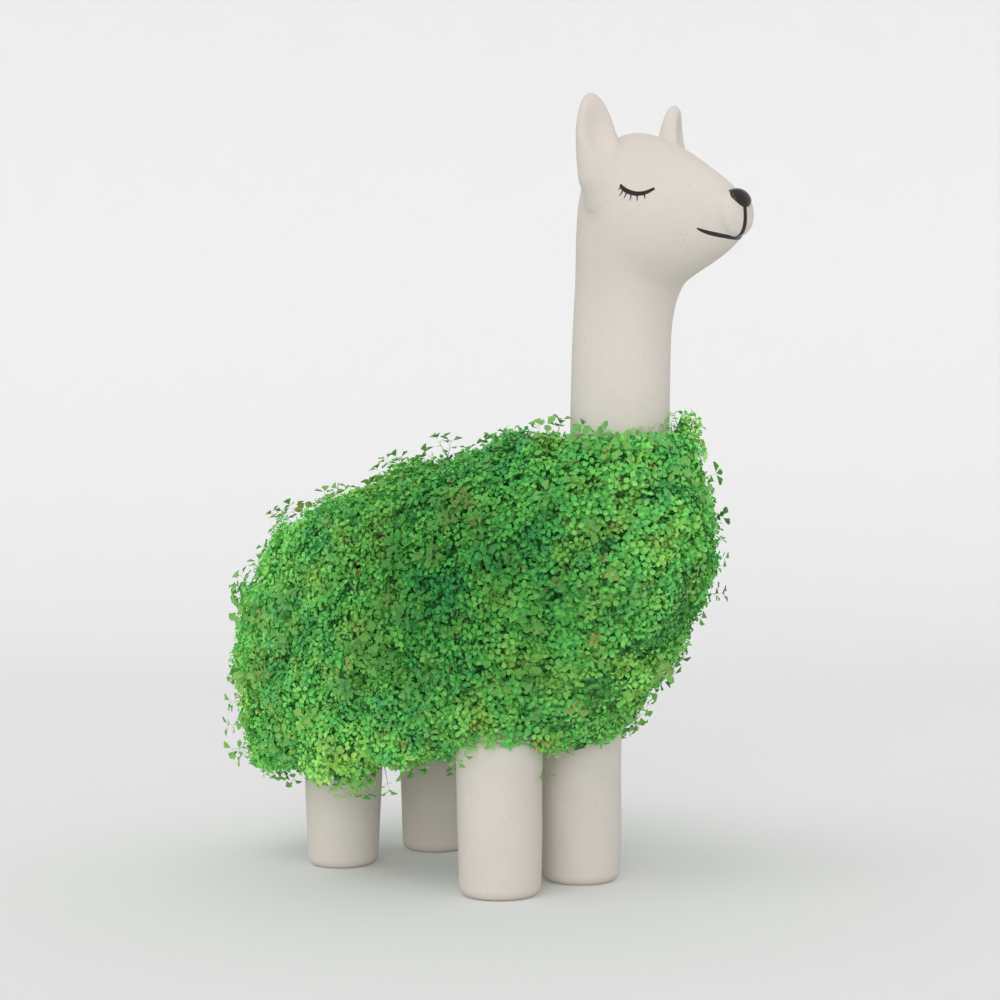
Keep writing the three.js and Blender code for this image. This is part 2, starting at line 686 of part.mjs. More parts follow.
// One row of sprouts between two heights
function sproutRow(row) {
  const first = row === 0;
  const last = row === GROOVE_COUNT - 1;
  const bottom = first ? GROWTH_BOTTOM_Z : grooveHeights[row] - GROOVE_PITCH / 2 + CLEARANCE / 2;
  const top = last ? GROWTH_TOP_Z : grooveHeights[row] + GROOVE_PITCH / 2 - CLEARANCE / 2;
  const steps = last || first ? 6 : 3;
  const outer = [];
  for (let i = 0; i <= steps; i += 1) {
    const ring = growthOutline(bottom + ((top - bottom) * i) / steps, row * 7 + i);
    if (first) {
      ring.forEach((p) => p.setZ(p.z - GROWTH_SAG * (1 - i / steps) * rearShare(p.x)));
    }
    if (last) {
      ring.forEach((p) => p.setZ(p.z - GROWTH_TOP_DIP * (i / steps) * rearShare(p.x)));
    }
    outer.push(ring);
  }
  const gap = SPROUT_CLEARANCE;
  let mass = solid(loft(outer));
  if (first) {
    for (const leg of legs) {
      mass = mass.add(solid(legColumn(leg, GROWTH_BOTTOM_Z, LOWEST_GROOVE_Z, gap + GROWTH_ROUND_LEG)));
    }
    for (const leg of legs) {
      mass = mass.subtract(solid(legRoot(leg, -1, gap)));
    }
  }
  mass = mass.subtract(bareBodyRoom());
  if (last) {
    mass = mass.subtract(headSolid(gap));
    mass = mass.subtract(solid(ellipseColumn(
      NECK_X, NECK_HALF_LENGTH + gap, NECK_HALF_WIDTH + gap,
      NECK_SEAT_Z - NECK_ROOT_DEPTH, NECK_SEAT_Z + gap, HEAD_POINTS / 2,
    )));
    mass = mass.subtract(solid(fillOpening(gap)));
  }
  const byTail = bottom < TAIL_TOP_Z + gap && top > TAIL_BOTTOM_Z - gap;
  return byTail ? mass.subtract(tailRoom(gap)) : mass;
}

const llama = new THREE.Group();
llama.add(piece('body_shell', geometryOf(bodyShell()), CLAY));
llama.add(piece('neck_and_head', geometryOf(neckAndHead()), CLAY));
for (const [side, sign] of [['left', 1], ['right', -1]]) {
  const ear = placeEar(earBlade(0), sign).subtract(placeEar(earScoop(), sign));
  llama.add(piece(`ear_${side}`, geometryOf(ear), CLAY));
}
llama.add(piece('tail', tailGeometry(), CLAY));
for (const leg of legs) {
  llama.add(piece(leg.name, legGeometry(leg), CLAY));
}
llama.add(piece('nose_pad', geometryOf(nosePad()), GLAZE_BLACK));
grooveHeights.forEach((z, i) => {
  llama.add(piece(`seed_mat_${i + 1}`, geometryOf(seedMat(z)), SEED_BROWN));
});
grooveHeights.forEach((z, i) => {
  const look = { color: LEAF_GREENS[i % LEAF_GREENS.length], roughness: 0.7, metalness: 0 };
  llama.add(piece(`sprout_row_${i + 1}`, geometryOf(sproutRow(i)), look));
});

// The origin lies on the ground under the middle of the outline
const box = new THREE.Box3().setFromObject(llama);
llama.position.x = -(box.min.x + box.max.x) / 2;

export default llama;
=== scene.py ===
import math

import bmesh
import bpy
from mathutils import Matrix, Vector, noise
from mathutils.bvhtree import BVHTree


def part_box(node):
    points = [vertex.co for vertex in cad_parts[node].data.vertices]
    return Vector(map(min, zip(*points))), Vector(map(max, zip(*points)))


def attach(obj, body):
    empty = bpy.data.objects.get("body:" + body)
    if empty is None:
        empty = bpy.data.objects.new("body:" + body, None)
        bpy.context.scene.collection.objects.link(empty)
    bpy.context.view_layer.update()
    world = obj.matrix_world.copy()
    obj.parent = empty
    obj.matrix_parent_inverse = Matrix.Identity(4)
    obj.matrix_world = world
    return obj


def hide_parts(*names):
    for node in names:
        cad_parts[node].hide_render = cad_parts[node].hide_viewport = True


bl_info = {
    "name": "Llama planter",
    "version": (1, 0, 0),
    "blender": (4, 5, 0),
    "location": "View3D > Sidebar > Planter",
    "description": "Llama planter of bisque clay with a glazed face, seeds and a coat of sprouts",
    "category": "Object",
}

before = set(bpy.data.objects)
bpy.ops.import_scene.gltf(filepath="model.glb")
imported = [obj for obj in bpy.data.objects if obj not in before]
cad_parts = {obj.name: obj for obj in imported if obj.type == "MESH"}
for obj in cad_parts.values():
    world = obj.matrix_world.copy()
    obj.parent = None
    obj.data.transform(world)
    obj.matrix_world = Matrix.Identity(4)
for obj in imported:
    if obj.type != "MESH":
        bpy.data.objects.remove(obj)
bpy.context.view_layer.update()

MM = 0.001

# The animal's own origin in the frame: everything below is written in millimetres from it, with the
# head towards +X, the animal's left towards +Y and the ground at Z 0
FRONT_LEG_X = 25.5
_leg_low, _leg_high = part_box("leg_front_left")
ORIGIN_X = (_leg_low.x + _leg_high.x) / 2 / MM - FRONT_LEG_X

SIDES = (("left", 1), ("right", -1))

# Of each pair of legs: X, Y, radius at the foot, radius at the top, and the top's lean forward
LEG_PAIRS = {"front": (FRONT_LEG_X, 12.5, 9.3, 9.8, 0.0), "rear": (-28.8, 14.8, 8.6, 9.7, 1.1)}
LEG_HEIGHT = 35.5
FOOT_EDGE = 2.4
LEG_UNEVENNESS = 0.00032

NECK_X = 53.0
NECK_HALF = 12.0
NECK_SEAT_Z = 97.0
# The neck's and head's outline from the side, back and front, as shares of NECK_HALF from the
# neck's foot, and half its width at shares of the way from the foot to the muzzle
BACK_RAIL = [
    (-1.07, 0), (-1.04, 1.25), (-0.97, 2.58), (-0.87, 3.58), (-0.78, 4.42), (-0.64, 5.12),
    (-0.28, 5.67), (0.33, 5.88), (1, 5.72), (1.58, 5.42), (2.04, 5.13), (2.42, 4.87), (2.67, 4.65),
]
FRONT_RAIL = [
    (0.83, 0), (0.84, 0.92), (0.87, 1.75), (0.93, 2.42), (1.03, 2.78), (1.21, 3.05), (1.45, 3.18),
    (1.7, 3.28), (1.95, 3.37), (2.18, 3.47), (2.4, 3.58), (2.58, 3.7), (2.72, 3.83),
]
HEAD_WIDTHS = [
    (0, 10.25), (0.22, 10.25), (0.36, 11.35), (0.48, 12.2), (0.58, 11.51), (0.7, 8.903),
    (0.82, 6.375), (0.93, 4.874), (1, 4.4),
]
HEAD_RINGS = 110
HEAD_POINTS = 64
TIP_RINGS = 14
TIP_SHARE = 0.1
TIP_REACH = 2.9
MUZZLE_SOFT_X = 81.0
MUZZLE_SOFT_Z = 130.0
# Smoothing forth and back rounds the muzzle's crease without shrinking it
SMOOTHING = (0.5, -0.52) * 26

EAR_X = 57.45
EAR_Y = 10.8
EAR_SEAT_Z = 156.5
EAR_LENGTH = 18.5
EAR_WIDTH = 9.8
EAR_THICKNESS = 8.2
EAR_THINNING = 0.12
EAR_TURN = 30.0
EAR_LEAN_BACK = 1.0
EAR_LEAN_OUT = 2.0
EAR_HOLLOW = 2.3
EAR_ROOT = 0.75
EAR_ROOT_INWARDS = 7.0
EAR_FILLET = 0.0034
EAR_COLUMNS = 56
EAR_ROWS = 42
EAR_SKIRT = 9

TAIL_SEAT_X = -47.0
TAIL_MIDDLE_Z = 67.5
TAIL_HEIGHT = 23.0
TAIL_HALF_WIDTH = 5.4
TAIL_REACH = 11.0
TAIL_DROOP = 3.0

NOSE_Z = 150.8
NOSE_HALF_WIDTH = 2.8
NOSE_HALF_HEIGHT = 2.0
NOSE_PROUD = 0.6
NOSE_SUNK = 0.6

# The oval opening in the back: its middle's X and its half sizes
FILL_MOUTH = (-3.0, 18.1, 9.1)

# Places where the coat stands higher or lower than its rows: X, Y, Z, height and radius
TUFTS = [
    (61.9, 9.1, 103.0, 6.0, 4.5), (33.7, -14.5, 102.3, 3.0, 4.0), (3.7, -19.9, 95.0, 2.2, 4.5),
    (-26.4, -22.4, 87.0, 3.2, 3.5), (-54.7, -27.6, 49.0, 1.8, 5.0), (-8.0, -30.0, 26.5, 6.0, 6.0),
    (-27.5, -35.8, 76.6, -2.2, 9.0), (-43.2, -32.5, 66.3, -2.0, 8.0),
    (-52.0, -25.0, 23.0, -3.2, 6.5), (12.0, 18.0, 98.0, 2.2, 5.0), (-30.0, 24.0, 84.0, 2.6, 4.5),
    (20.0, 33.0, 34.0, 2.0, 6.0), (-20.0, 33.0, 28.0, 3.0, 6.0), (-58.0, 14.0, 40.0, 2.0, 6.0),
    (7.0, -29.2, 29.2, 3.0, 4.5), (-15.0, -32.0, 26.0, 2.5, 5.0), (-37.3, -23.4, 82.1, -2.0, 7.0),
    (-53.1, -18.8, 72.9, -2.2, 9.0),
]
# How much lower the coat stands where it looks up
TOP_DROP = 0.9

# Level direction away from the camera
BACKWARDS = (-0.7302, 0.6832, 0.0)

# Where the coat's colour is painted darkest, as painted shade, and how far that reaches along X, Y
# and Z
SHOULDER_SHADE = (31, 32, 73)
SHOULDER_SHADE_REACH = (44, 35, 34)
# How near the neck the core of the coat is pushed down, in metres
NECK_HIDE = 0.005

CAMERA_PLACE = (382.018, -333.374, 97.332)
SEEN_SKY = 0.82
LAMP_BREADTH = 34

SEED_MATS = [f"seed_mat_{i}" for i in range(1, 7)]
SPROUT_ROWS = [f"sprout_row_{i}" for i in range(1, 7)]


# Settings

def colour_setting(name, description, default):
    return bpy.props.FloatVectorProperty(name=name, description=description, subtype="COLOR",
                                         size=3, min=0, max=1, default=default)


def length_setting(name, description, least, most, default):
    return bpy.props.FloatProperty(name=name, description=description, subtype="DISTANCE",
                                   unit="LENGTH", min=least, max=most, default=default)


def number_setting(name, description, least, most, default, subtype="NONE"):
    return bpy.props.FloatProperty(name=name, description=description, subtype=subtype,
                                   min=least, max=most, default=default)


class ClaySettings(bpy.types.PropertyGroup):
    colour: colour_setting("Clay colour", "Colour of the dry bisque", (0.745, 0.69, 0.63))
    stain: colour_setting("Damp colour", "Colour of the slightly damper, warmer patches",
                          (0.69, 0.62, 0.55))
    roughness: number_setting("Roughness", "Roughness of the unglazed clay", 0, 1, 0.82, "FACTOR")
    unevenness: length_setting("Unevenness", "How far the cast surface wanders from its true form",
                               0, 0.001, 0.00018)


class FaceSettings(bpy.types.PropertyGroup):
    line_width: length_setting("Line width", "Width of the glazed eye and mouth lines",
                               0.0003, 0.003, 0.00105)
    lash_width: length_setting("Lash width", "Width of a lash at its root", 0.0002, 0.002, 0.0005)
    colour: colour_setting("Glaze colour", "Colour of the black glaze", (0.012, 0.010, 0.009))


class SeedSettings(bpy.types.PropertyGroup):
    spacing: length_setting("Seed spacing", "Least distance between two seeds",
                            0.0005, 0.005, 0.0013)
    colour: colour_setting("Seed colour", "Colour of a soaked seed", (0.13, 0.085, 0.055))


class SproutSettings(bpy.types.PropertyGroup):
    spacing: length_setting("Sprig spacing", "Least distance between two sprigs",
                            0.0005, 0.01, 0.00071)
    root_depth: length_setting("Root depth", "How far below the canopy the stems begin",
                               0, 0.01, 0.0040)
    clump: length_setting("Clump height", "How far clumps of sprigs rise above the hollows between",
                          0, 0.01, 0.0030)
    size: number_setting("Sprig size", "Size of the sprigs beside their drawn size",
                         0.2, 3, 1.0, "FACTOR")
    upward: number_setting("Upward pull", "How much the sprigs turn up towards the light",
                           0, 2, 0.35, "FACTOR")
    seed: bpy.props.IntProperty(
        name="Seed", description="Seed of the scatter", min=0, max=999, default=7)
    deep: colour_setting("Deep green", "Colour in the depth of the coat", (0.016, 0.14, 0.028))
    cool: colour_setting("Cool green", "Colour of the darkest leaves", (0.030, 0.31, 0.095))
    green: colour_setting("Leaf green", "Colour of most leaves", (0.088, 0.47, 0.075))
    light: colour_setting("Light green", "Colour of the young, yellower leaves",
                          (0.25, 0.61, 0.11))


class StageSettings(bpy.types.PropertyGroup):
    floor_colour: colour_setting("Floor colour", "Colour of the floor and backdrop",
                                 (0.80, 0.80, 0.80))
    lens: number_setting("Lens", "Focal length of the camera in millimetres", 10, 300, 77.3)
    sky: number_setting("Sky", "Strength of the even light from all round", 0, 3, 0.66)
    key: number_setting("Key lamp", "Strength of the broad lamp above", 0, 10, 0.43)
    fill: number_setting("Fill lamp", "Strength of the broad lamp in front", 0, 10, 0.8)


# Shared making

def metres(point):
    """A place in the frame, from the animal's millimetres."""
    return Vector(((point[0] + ORIGIN_X) * MM, point[1] * MM, point[2] * MM))


def millimetres(place):
    """The animal's millimetres, from a place in the frame."""
    return Vector((place.x / MM - ORIGIN_X, place.y / MM, place.z / MM))


def linked(name, data):
    """A new object in the scene."""
    obj = bpy.data.objects.new(name, data)
    bpy.context.scene.collection.objects.link(obj)
    return obj


def mesh_object(name, points, faces):
    """A new smooth object from the animal's millimetres, with its faces turned outwards."""
    mesh = bpy.data.meshes.new(name)
    mesh.from_pydata([metres(p) for p in points], [], faces)
    form = bmesh.new()
    form.from_mesh(mesh)
    bmesh.ops.remove_doubles(form, verts=form.verts, dist=1e-7)
    bmesh.ops.recalc_face_normals(form, faces=form.faces)
    for face in form.faces:
        face.smooth = True
    form.to_mesh(mesh)
    form.free()
    return linked(name, mesh)


def around(count):
    """The turns of a ring of that many points."""
    return [2 * math.pi * i / count for i in range(count)]


def loft(rings, start=None, end=None):
    """Points and faces through a list of rings of equal count, closed at both ends by a point."""
    count = len(rings[0])
    points = [p for ring in rings for p in ring]
    faces = []
    for j in range(len(rings) - 1):
        for i in range(count):
            k = (i + 1) % count
            faces.append((j * count + i, j * count + k, (j + 1) * count + k, (j + 1) * count + i))
    for ring, apex in ((0, start), (len(rings) - 1, end)):
        if apex is None:
            apex = sum((Vector(p) for p in rings[ring]), Vector()) / count
        points.append(apex)
        for i in range(count):
            faces.append((ring * count + i, ring * count + (i + 1) % count, len(points) - 1))
    return points, faces


def curve_point(points, t):
    """A point of the smooth curve through the given points, t from 0 to 1."""
    last = len(points) - 1
    place = last * min(max(t, 0.0), 1.0)
    i = min(int(place), last - 1)
    w = place - i
    p1, p2 = points[i], points[i + 1]
    p0 = points[i - 1] if i > 0 else p1 * 2 - p2
    p3 = points[i + 2] if i + 2 <= last else p2 * 2 - p1
    d0, d1, d2 = ((b - a).length ** 0.5 for a, b in ((p0, p1), (p1, p2), (p2, p3)))
    m1 = ((p1 - p0) / d0 - (p2 - p0) / (d0 + d1) + (p2 - p1) / d1) * d1
    m2 = ((p2 - p1) / d1 - (p3 - p1) / (d1 + d2) + (p3 - p2) / d2) * d1
    return (p1 + m1 * w + (p2 * 3 - p1 * 3 - m1 * 2 - m2) * w ** 2
            + (p1 * 2 - p2 * 2 + m1 + m2) * w ** 3)


def read_table(rows, at):
    """The smooth curve through a table's rows, read at a value of its first column."""
    if at <= rows[0][0]:
        return rows[0][1]
    if at >= rows[-1][0]:
        return rows[-1][1]
    k = 0
    while rows[k + 1][0] < at:
        k += 1

    def slope(i):
        a, b = rows[max(0, i - 1)], rows[min(len(rows) - 1, i + 1)]
        return (b[1] - a[1]) / (b[0] - a[0])

    step = rows[k + 1][0] - rows[k][0]
    t = (at - rows[k][0]) / step
    keep = 1 - t
    return (keep * keep * (1 + 2 * t) * rows[k][1] + t * t * (3 - 2 * t) * rows[k + 1][1]
            + step * t * keep * (keep * slope(k) - t * slope(k + 1)))


def last_true(holds, low, high, rounds):
    """Halves the way from low, where the test holds, to high, where it doesn't, and returns low."""
    for _ in range(rounds):
        middle = (low + high) / 2
        if holds(middle):
            low = middle
        else:
            high = middle
    return low


def tree_of(obj):
    return BVHTree.FromPolygons([v.co for v in obj.data.vertices],
                                [p.vertices for p in obj.data.polygons])


def coat(obj, material):
    obj.data.materials.clear()
    obj.data.materials.append(material)


def finish_piece(obj, node=None, material=None):
    if material:
        coat(obj, material)
    if node:
        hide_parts(node)
    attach(obj, "root")


# Materials

class Nodes:
    """Short calls for a material's or a geometry tree's nodes."""

    def __init__(self, tree):
        self.tree = tree

    def add(self, kind, settings=None, **inputs):
        node = self.tree.nodes.new(kind)
        for name, value in (settings or {}).items():
            setattr(node, name, value)
        for name, value in inputs.items():
            self.put(node.inputs[name.replace("_", " ").strip()], value)
        return node

    def put(self, socket, value):
        if isinstance(value, bpy.types.NodeSocket):
            self.tree.links.new(value, socket)
        else:
            socket.default_value = value

    def fed(self, node, *values):
        """The node, with the values put into its first sockets."""
        for socket, value in zip(node.inputs, values):
            self.put(socket, value)
        return node

    def math(self, operation, *values):
        return self.fed(self.add("ShaderNodeMath", {"operation": operation}), *values).outputs[0]

    def vector(self, operation, *values, output="Vector"):
        node = self.add("ShaderNodeVectorMath", {"operation": operation})
        return self.fed(node, *values).outputs[output]

    def mix(self, factor, a, b, blend="MIX"):
        node = self.add("ShaderNodeMix", {"data_type": "RGBA", "blend_type": blend})
        for number, value in ((0, factor), (6, a), (7, b)):
            self.put(node.inputs[number], value)
        return node.outputs[2]

    def spread(self, value, low, high, to_low=0.0, to_high=1.0):
        return self.add("ShaderNodeMapRange", Value=value, From_Min=low, From_Max=high,
                        To_Min=to_low, To_Max=to_high).outputs[0]


class Surface(Nodes):
    """The nodes of one new material, with what most of the materials here are made of."""

    def __init__(self, name):
        self.material = bpy.data.materials.new(name)
        self.material.use_nodes = True
        super().__init__(self.material.node_tree)
        self.tree.nodes.clear()
        self.place = self.add("ShaderNodeTexCoord").outputs["Object"]

    def noise(self, scale, detail=2.0, roughness=0.5):
        return self.add("ShaderNodeTexNoise", Vector=self.place, Scale=scale, Detail=detail,
                        Roughness=roughness).outputs[0]

    def attribute(self, name):
        return self.add("ShaderNodeAttribute", {"attribute_name": name}).outputs["Fac"]

    def bump(self, height, strength, distance, **more):
        return self.add("ShaderNodeBump", Height=height, Strength=strength, Distance=distance,
                        **more).outputs[0]

    def shader(self, colour, roughness, gloss=0.5):
        return self.add("ShaderNodeBsdfPrincipled", Base_Color=colour, Roughness=roughness,
                        Specular_IOR_Level=gloss)

    def finish(self, shader, normal=None):
        if normal is not None:
            self.put(shader.inputs["Normal"], normal)
        self.add("ShaderNodeOutputMaterial", Surface=shader.outputs[0])
        return self.material


def rgba(colour):
    return (*colour[:3], 1.0)


def clay_material(nodes, settings):
    """Dry bisque: faint warm patches, fine grog and a sponged surface."""
    patches = nodes.noise(38.0, 3.0, 0.55)
    clouds = nodes.noise(170.0)
    grog = nodes.noise(1500.0, roughness=0.6)
    colour = nodes.mix(nodes.spread(patches, 0.42, 0.72, 0.0, 0.6), rgba(settings.colour),
                       rgba(settings.stain))
    colour = nodes.mix(nodes.spread(clouds, 0.35, 0.7, 0.0, 0.16), colour, (0.775, 0.735, 0.67, 1))
    colour = nodes.mix(nodes.spread(grog, 0.58, 0.72, 0.0, 0.22), colour, (0.47, 0.42, 0.36, 1))
    grain = nodes.bump(grog, 0.3, 0.00012, Normal=nodes.bump(clouds, 0.22, 0.0006))
    roughness = nodes.spread(clouds, 0.3, 0.7, settings.roughness - 0.05, settings.roughness + 0.05)
    return nodes.finish(nodes.shader(colour, roughness, 0.3), grain)


def glaze_material(nodes, settings):
    """Black glaze brushed on by hand: shiny, a little thin and brown where it pulls back."""
    pull = nodes.noise(900.0)
    colour = nodes.mix(nodes.spread(pull, 0.5, 0.8, 0.0, 0.5), rgba(settings.colour),
                       (0.045, 0.034, 0.027, 1))
    shader = nodes.shader(colour, nodes.spread(pull, 0.3, 0.7, 0.12, 0.22))
    return nodes.finish(shader, nodes.bump(pull, 0.15, 0.00008))


def seed_material(nodes, settings):
    """Soaked seeds: speckled brown with a grey bloom."""
    speck = nodes.noise(2400.0)
    colour = nodes.mix(nodes.attribute("tint"), rgba(settings.colour), (0.30, 0.25, 0.19, 1))
    colour = nodes.mix(nodes.spread(speck, 0.5, 0.65), colour, (0.05, 0.035, 0.025, 1))
    shader = nodes.shader(colour, nodes.spread(speck, 0.3, 0.7, 0.35, 0.6))
    return nodes.finish(shader, nodes.bump(speck, 0.3, 0.0001))


def depth_material(nodes, settings):
    """What shows between the sprigs: the leaves, stems and roots further in, in shadow."""
    tangle = nodes.noise(520.0, 4.0, 0.65)
    wobble = nodes.vector("MULTIPLY_ADD", tangle.node.outputs[1], (0.0012, 0.0012, 0.0012),
                          nodes.place)
    inner = nodes.add("ShaderNodeTexVoronoi", Vector=wobble, Scale=720.0)
    shade = nodes.add("ShaderNodeSeparateXYZ", Vector=inner.outputs["Color"])
    edge = inner.outputs["Distance"]
    colour = nodes.mix(shade.outputs[0], rgba(settings.green), rgba(settings.light))
    colour = nodes.mix(nodes.spread(tangle, 0.38, 0.66, 0.5, 0.0), colour, rgba(settings.cool))
    colour = nodes.mix(nodes.spread(edge, 0.4, 0.7), colour, rgba(settings.deep))
    shader = nodes.shader(colour, nodes.spread(tangle, 0.3, 0.7, 0.8, 0.95))
    bump = nodes.bump(edge, 1.0, 0.0012)
    bump.node.invert = True
    return nodes.finish(shader, bump)


def leaf_material(nodes, settings):
    """Young leaves: each sprig has its own green, with painted light at the leaf's rim and painted
    shade towards the stems' feet, and a few dry ones.
    """
    tint, rise = nodes.attribute("tint"), nodes.attribute("rise")
    # The ramp reads random tone and painted light on the higher clumps, with each sprig's own tint
    ramp = nodes.add("ShaderNodeValToRGB", Fac=nodes.math(
        "MULTIPLY_ADD", nodes.attribute("patch"), 0.9, nodes.spread(tint, 0.0, 1.0, -0.25, 0.25)))
    stops = ramp.color_ramp.elements
    stops[0].position, stops[0].color = 0.05, rgba(settings.cool)
    stops[1].position, stops[1].color = 0.95, rgba(settings.light)
    stops.new(0.45).color = rgba(settings.green)
    veins, yellow = nodes.noise(1400.0), nodes.noise(105.0)
    colour = ramp.outputs[0]
    for value, low, high, share, other in (
            (yellow, 0.5, 0.72, 0.55, (0.27, 0.43, 0.06, 1)),
            # Painted light on each leaf's rim, and painted shade down the stems to their feet
            (rise, 0.55, 1.0, 0.15, (0.40, 0.74, 0.20, 1)),
            (rise, 0.42, 0.1, 0.7, rgba(settings.cool)),
            (tint, 0.96, 1.0, 0.85, (0.28, 0.21, 0.06, 1)),
            (nodes.attribute("stray"), 0.0, 1.0, 0.5, (0.10, 0.19, 0.04, 1)),
            (veins, 0.55, 0.75, 0.3, (0.03, 0.16, 0.03, 1))):
        colour = nodes.mix(nodes.spread(value, low, high, 0.0, share), colour, other)
    # Painted shade darkens the coat's colour at the shoulders, and painted light pales it towards
    # the rump, chest and belly
    parts = nodes.add("ShaderNodeSeparateXYZ", Vector=nodes.place).outputs
    folded = nodes.add("ShaderNodeCombineXYZ", X=parts["X"], Y=nodes.math("ABSOLUTE", parts["Y"]),
                       Z=parts["Z"]).outputs[0]
    from_shoulder = nodes.vector("SUBTRACT", folded, metres(SHOULDER_SHADE))
    reach = nodes.vector("MULTIPLY", from_shoulder, [1 / (size * MM) for size in SHOULDER_SHADE_REACH])
    away = nodes.spread(nodes.vector("LENGTH", reach, output="Value"), 0.4, 1.4)
    share = nodes.mix(away, (0.73, 0.93, 0.93, 1), (1.9, 1.56, 1.88, 1))
    colour = nodes.mix(1.0, colour, share, "MULTIPLY")
    shader = nodes.shader(colour, nodes.spread(veins, 0.3, 0.7, 0.48, 0.62), 0.22)
    return nodes.finish(shader, nodes.bump(veins, 0.25, 0.0002))


def shared_material(name, maker, settings):
    """The material of that name, made the first time that a piece asks for it."""
    return bpy.data.materials.get(name) or maker(Surface(name), settings)


def clay():
    return shared_material("bisque_clay", clay_material, bpy.context.scene.planter_clay)


def glaze():
    return shared_material("black_glaze", glaze_material, bpy.context.scene.planter_face)


# Neck and head

def rail(table):
    return [Vector((NECK_X + x * NECK_HALF, 0, NECK_SEAT_Z + z * NECK_HALF)) for x, z in table]


def head_ring(share, count):
    t = min(share, 1.0)
    back, front = curve_point(rail(BACK_RAIL), t), curve_point(rail(FRONT_RAIL), t)
    middle, half = (back + front) / 2, (back - front) / 2
    forward = Vector((half.z, 0, -half.x)).normalized()
    half_height = half.length
    half.normalize()
    half_width = read_table(HEAD_WIDTHS, t)
    past = min(1.0, max(0.0, share - 1) / TIP_SHARE)
    shrink = max(0.0, 1 - past ** 2.5) ** 0.4
    middle = middle + forward * (past * TIP_REACH)
    ring = [middle + half * (half_height * shrink * math.cos(a))
            + Vector((0, half_width * shrink * math.sin(a), 0)) for a in around(count)]
    return ring, middle


class LLAMA_OT_neck_and_head(bpy.types.Operator):
    """Casts the neck and head as one smooth clay form."""
    bl_idname = "llama.neck_and_head"
    bl_label = "Neck and head"

    def execute(self, context):
        shares = [i / HEAD_RINGS for i in range(HEAD_RINGS + 1)]
        shares += [1 + TIP_SHARE * math.sin(math.pi / 2 * i / TIP_RINGS)
                   for i in range(1, TIP_RINGS)]
        rings = [head_ring(share, HEAD_POINTS)[0] for share in shares]
        tip = head_ring(1 + TIP_SHARE, HEAD_POINTS)[1]
        head = mesh_object("Neck_and_head", *loft(rings, end=tip))
        self.soften_muzzle(head.data)
        # A mould and a sponge leave a cast surface a little uneven
        amount = context.scene.planter_clay.unevenness
        for vertex in head.data.vertices:
            vertex.co += vertex.normal * (amount * noise.noise(vertex.co / 0.013))
        head.data.update()
        finish_piece(head, "neck_and_head", clay())
        return {"FINISHED"}

    def soften_muzzle(self, mesh):
        form = bmesh.new()
        form.from_mesh(mesh)
        low_x, low_z = (MUZZLE_SOFT_X + ORIGIN_X) * MM, MUZZLE_SOFT_Z * MM
        muzzle = [v for v in form.verts if v.co.x > low_x and v.co.z > low_z]
        beside = [[e.other_vert(v) for e in v.link_edges] for v in muzzle]
        for factor in SMOOTHING:
            moved = [v.co.lerp(sum((n.co for n in near), Vector()) / len(near), factor)
                     for v, near in zip(muzzle, beside)]
            for vertex, place in zip(muzzle, moved):
                vertex.co = place
        form.to_mesh(mesh)
        form.free()


# Ears

def ear_form(side, up, a):
    """A point of the ear before it is blended: a rounded blade with its front hollowed."""
    below = max(0.0, -up / EAR_ROOT)
    share = math.sqrt(max(0.0004, 1 - max(0.0, up) ** 2.4)) * (1 - 0.2 * below)
    thickness = EAR_THICKNESS * (1 - EAR_THINNING * max(0.0, up))
    p = Vector((thickness / 2 * share * math.sin(a), EAR_WIDTH / 2 * share * math.cos(a),
                EAR_SEAT_Z + EAR_LENGTH * up))
    if p.x > 0:
        across = p.y / (EAR_WIDTH * 0.42)
        along = (up - 0.56) / 0.4
        p.x -= EAR_HOLLOW * max(0.0, 1 - across ** 2 - along ** 2) ** 1.8
    turn = Matrix.Rotation(math.radians(side * EAR_TURN), 3, "Z")
    y = EAR_Y - EAR_ROOT_INWARDS * below ** 1.3 + EAR_LEAN_OUT * up
    return metres(turn @ p + Vector((EAR_X - EAR_LEAN_BACK * up, side * y, 0)))


def ear_normal(side, up, a):
    """The outward direction of the ear's form, from its neighbours."""
    up = min(up, 0.985)
    round_it = ear_form(side, up, a + 0.02) - ear_form(side, up, a - 0.02)
    along = ear_form(side, up + 0.01, a) - ear_form(side, up - 0.01, a)
    return along.cross(round_it).normalized()


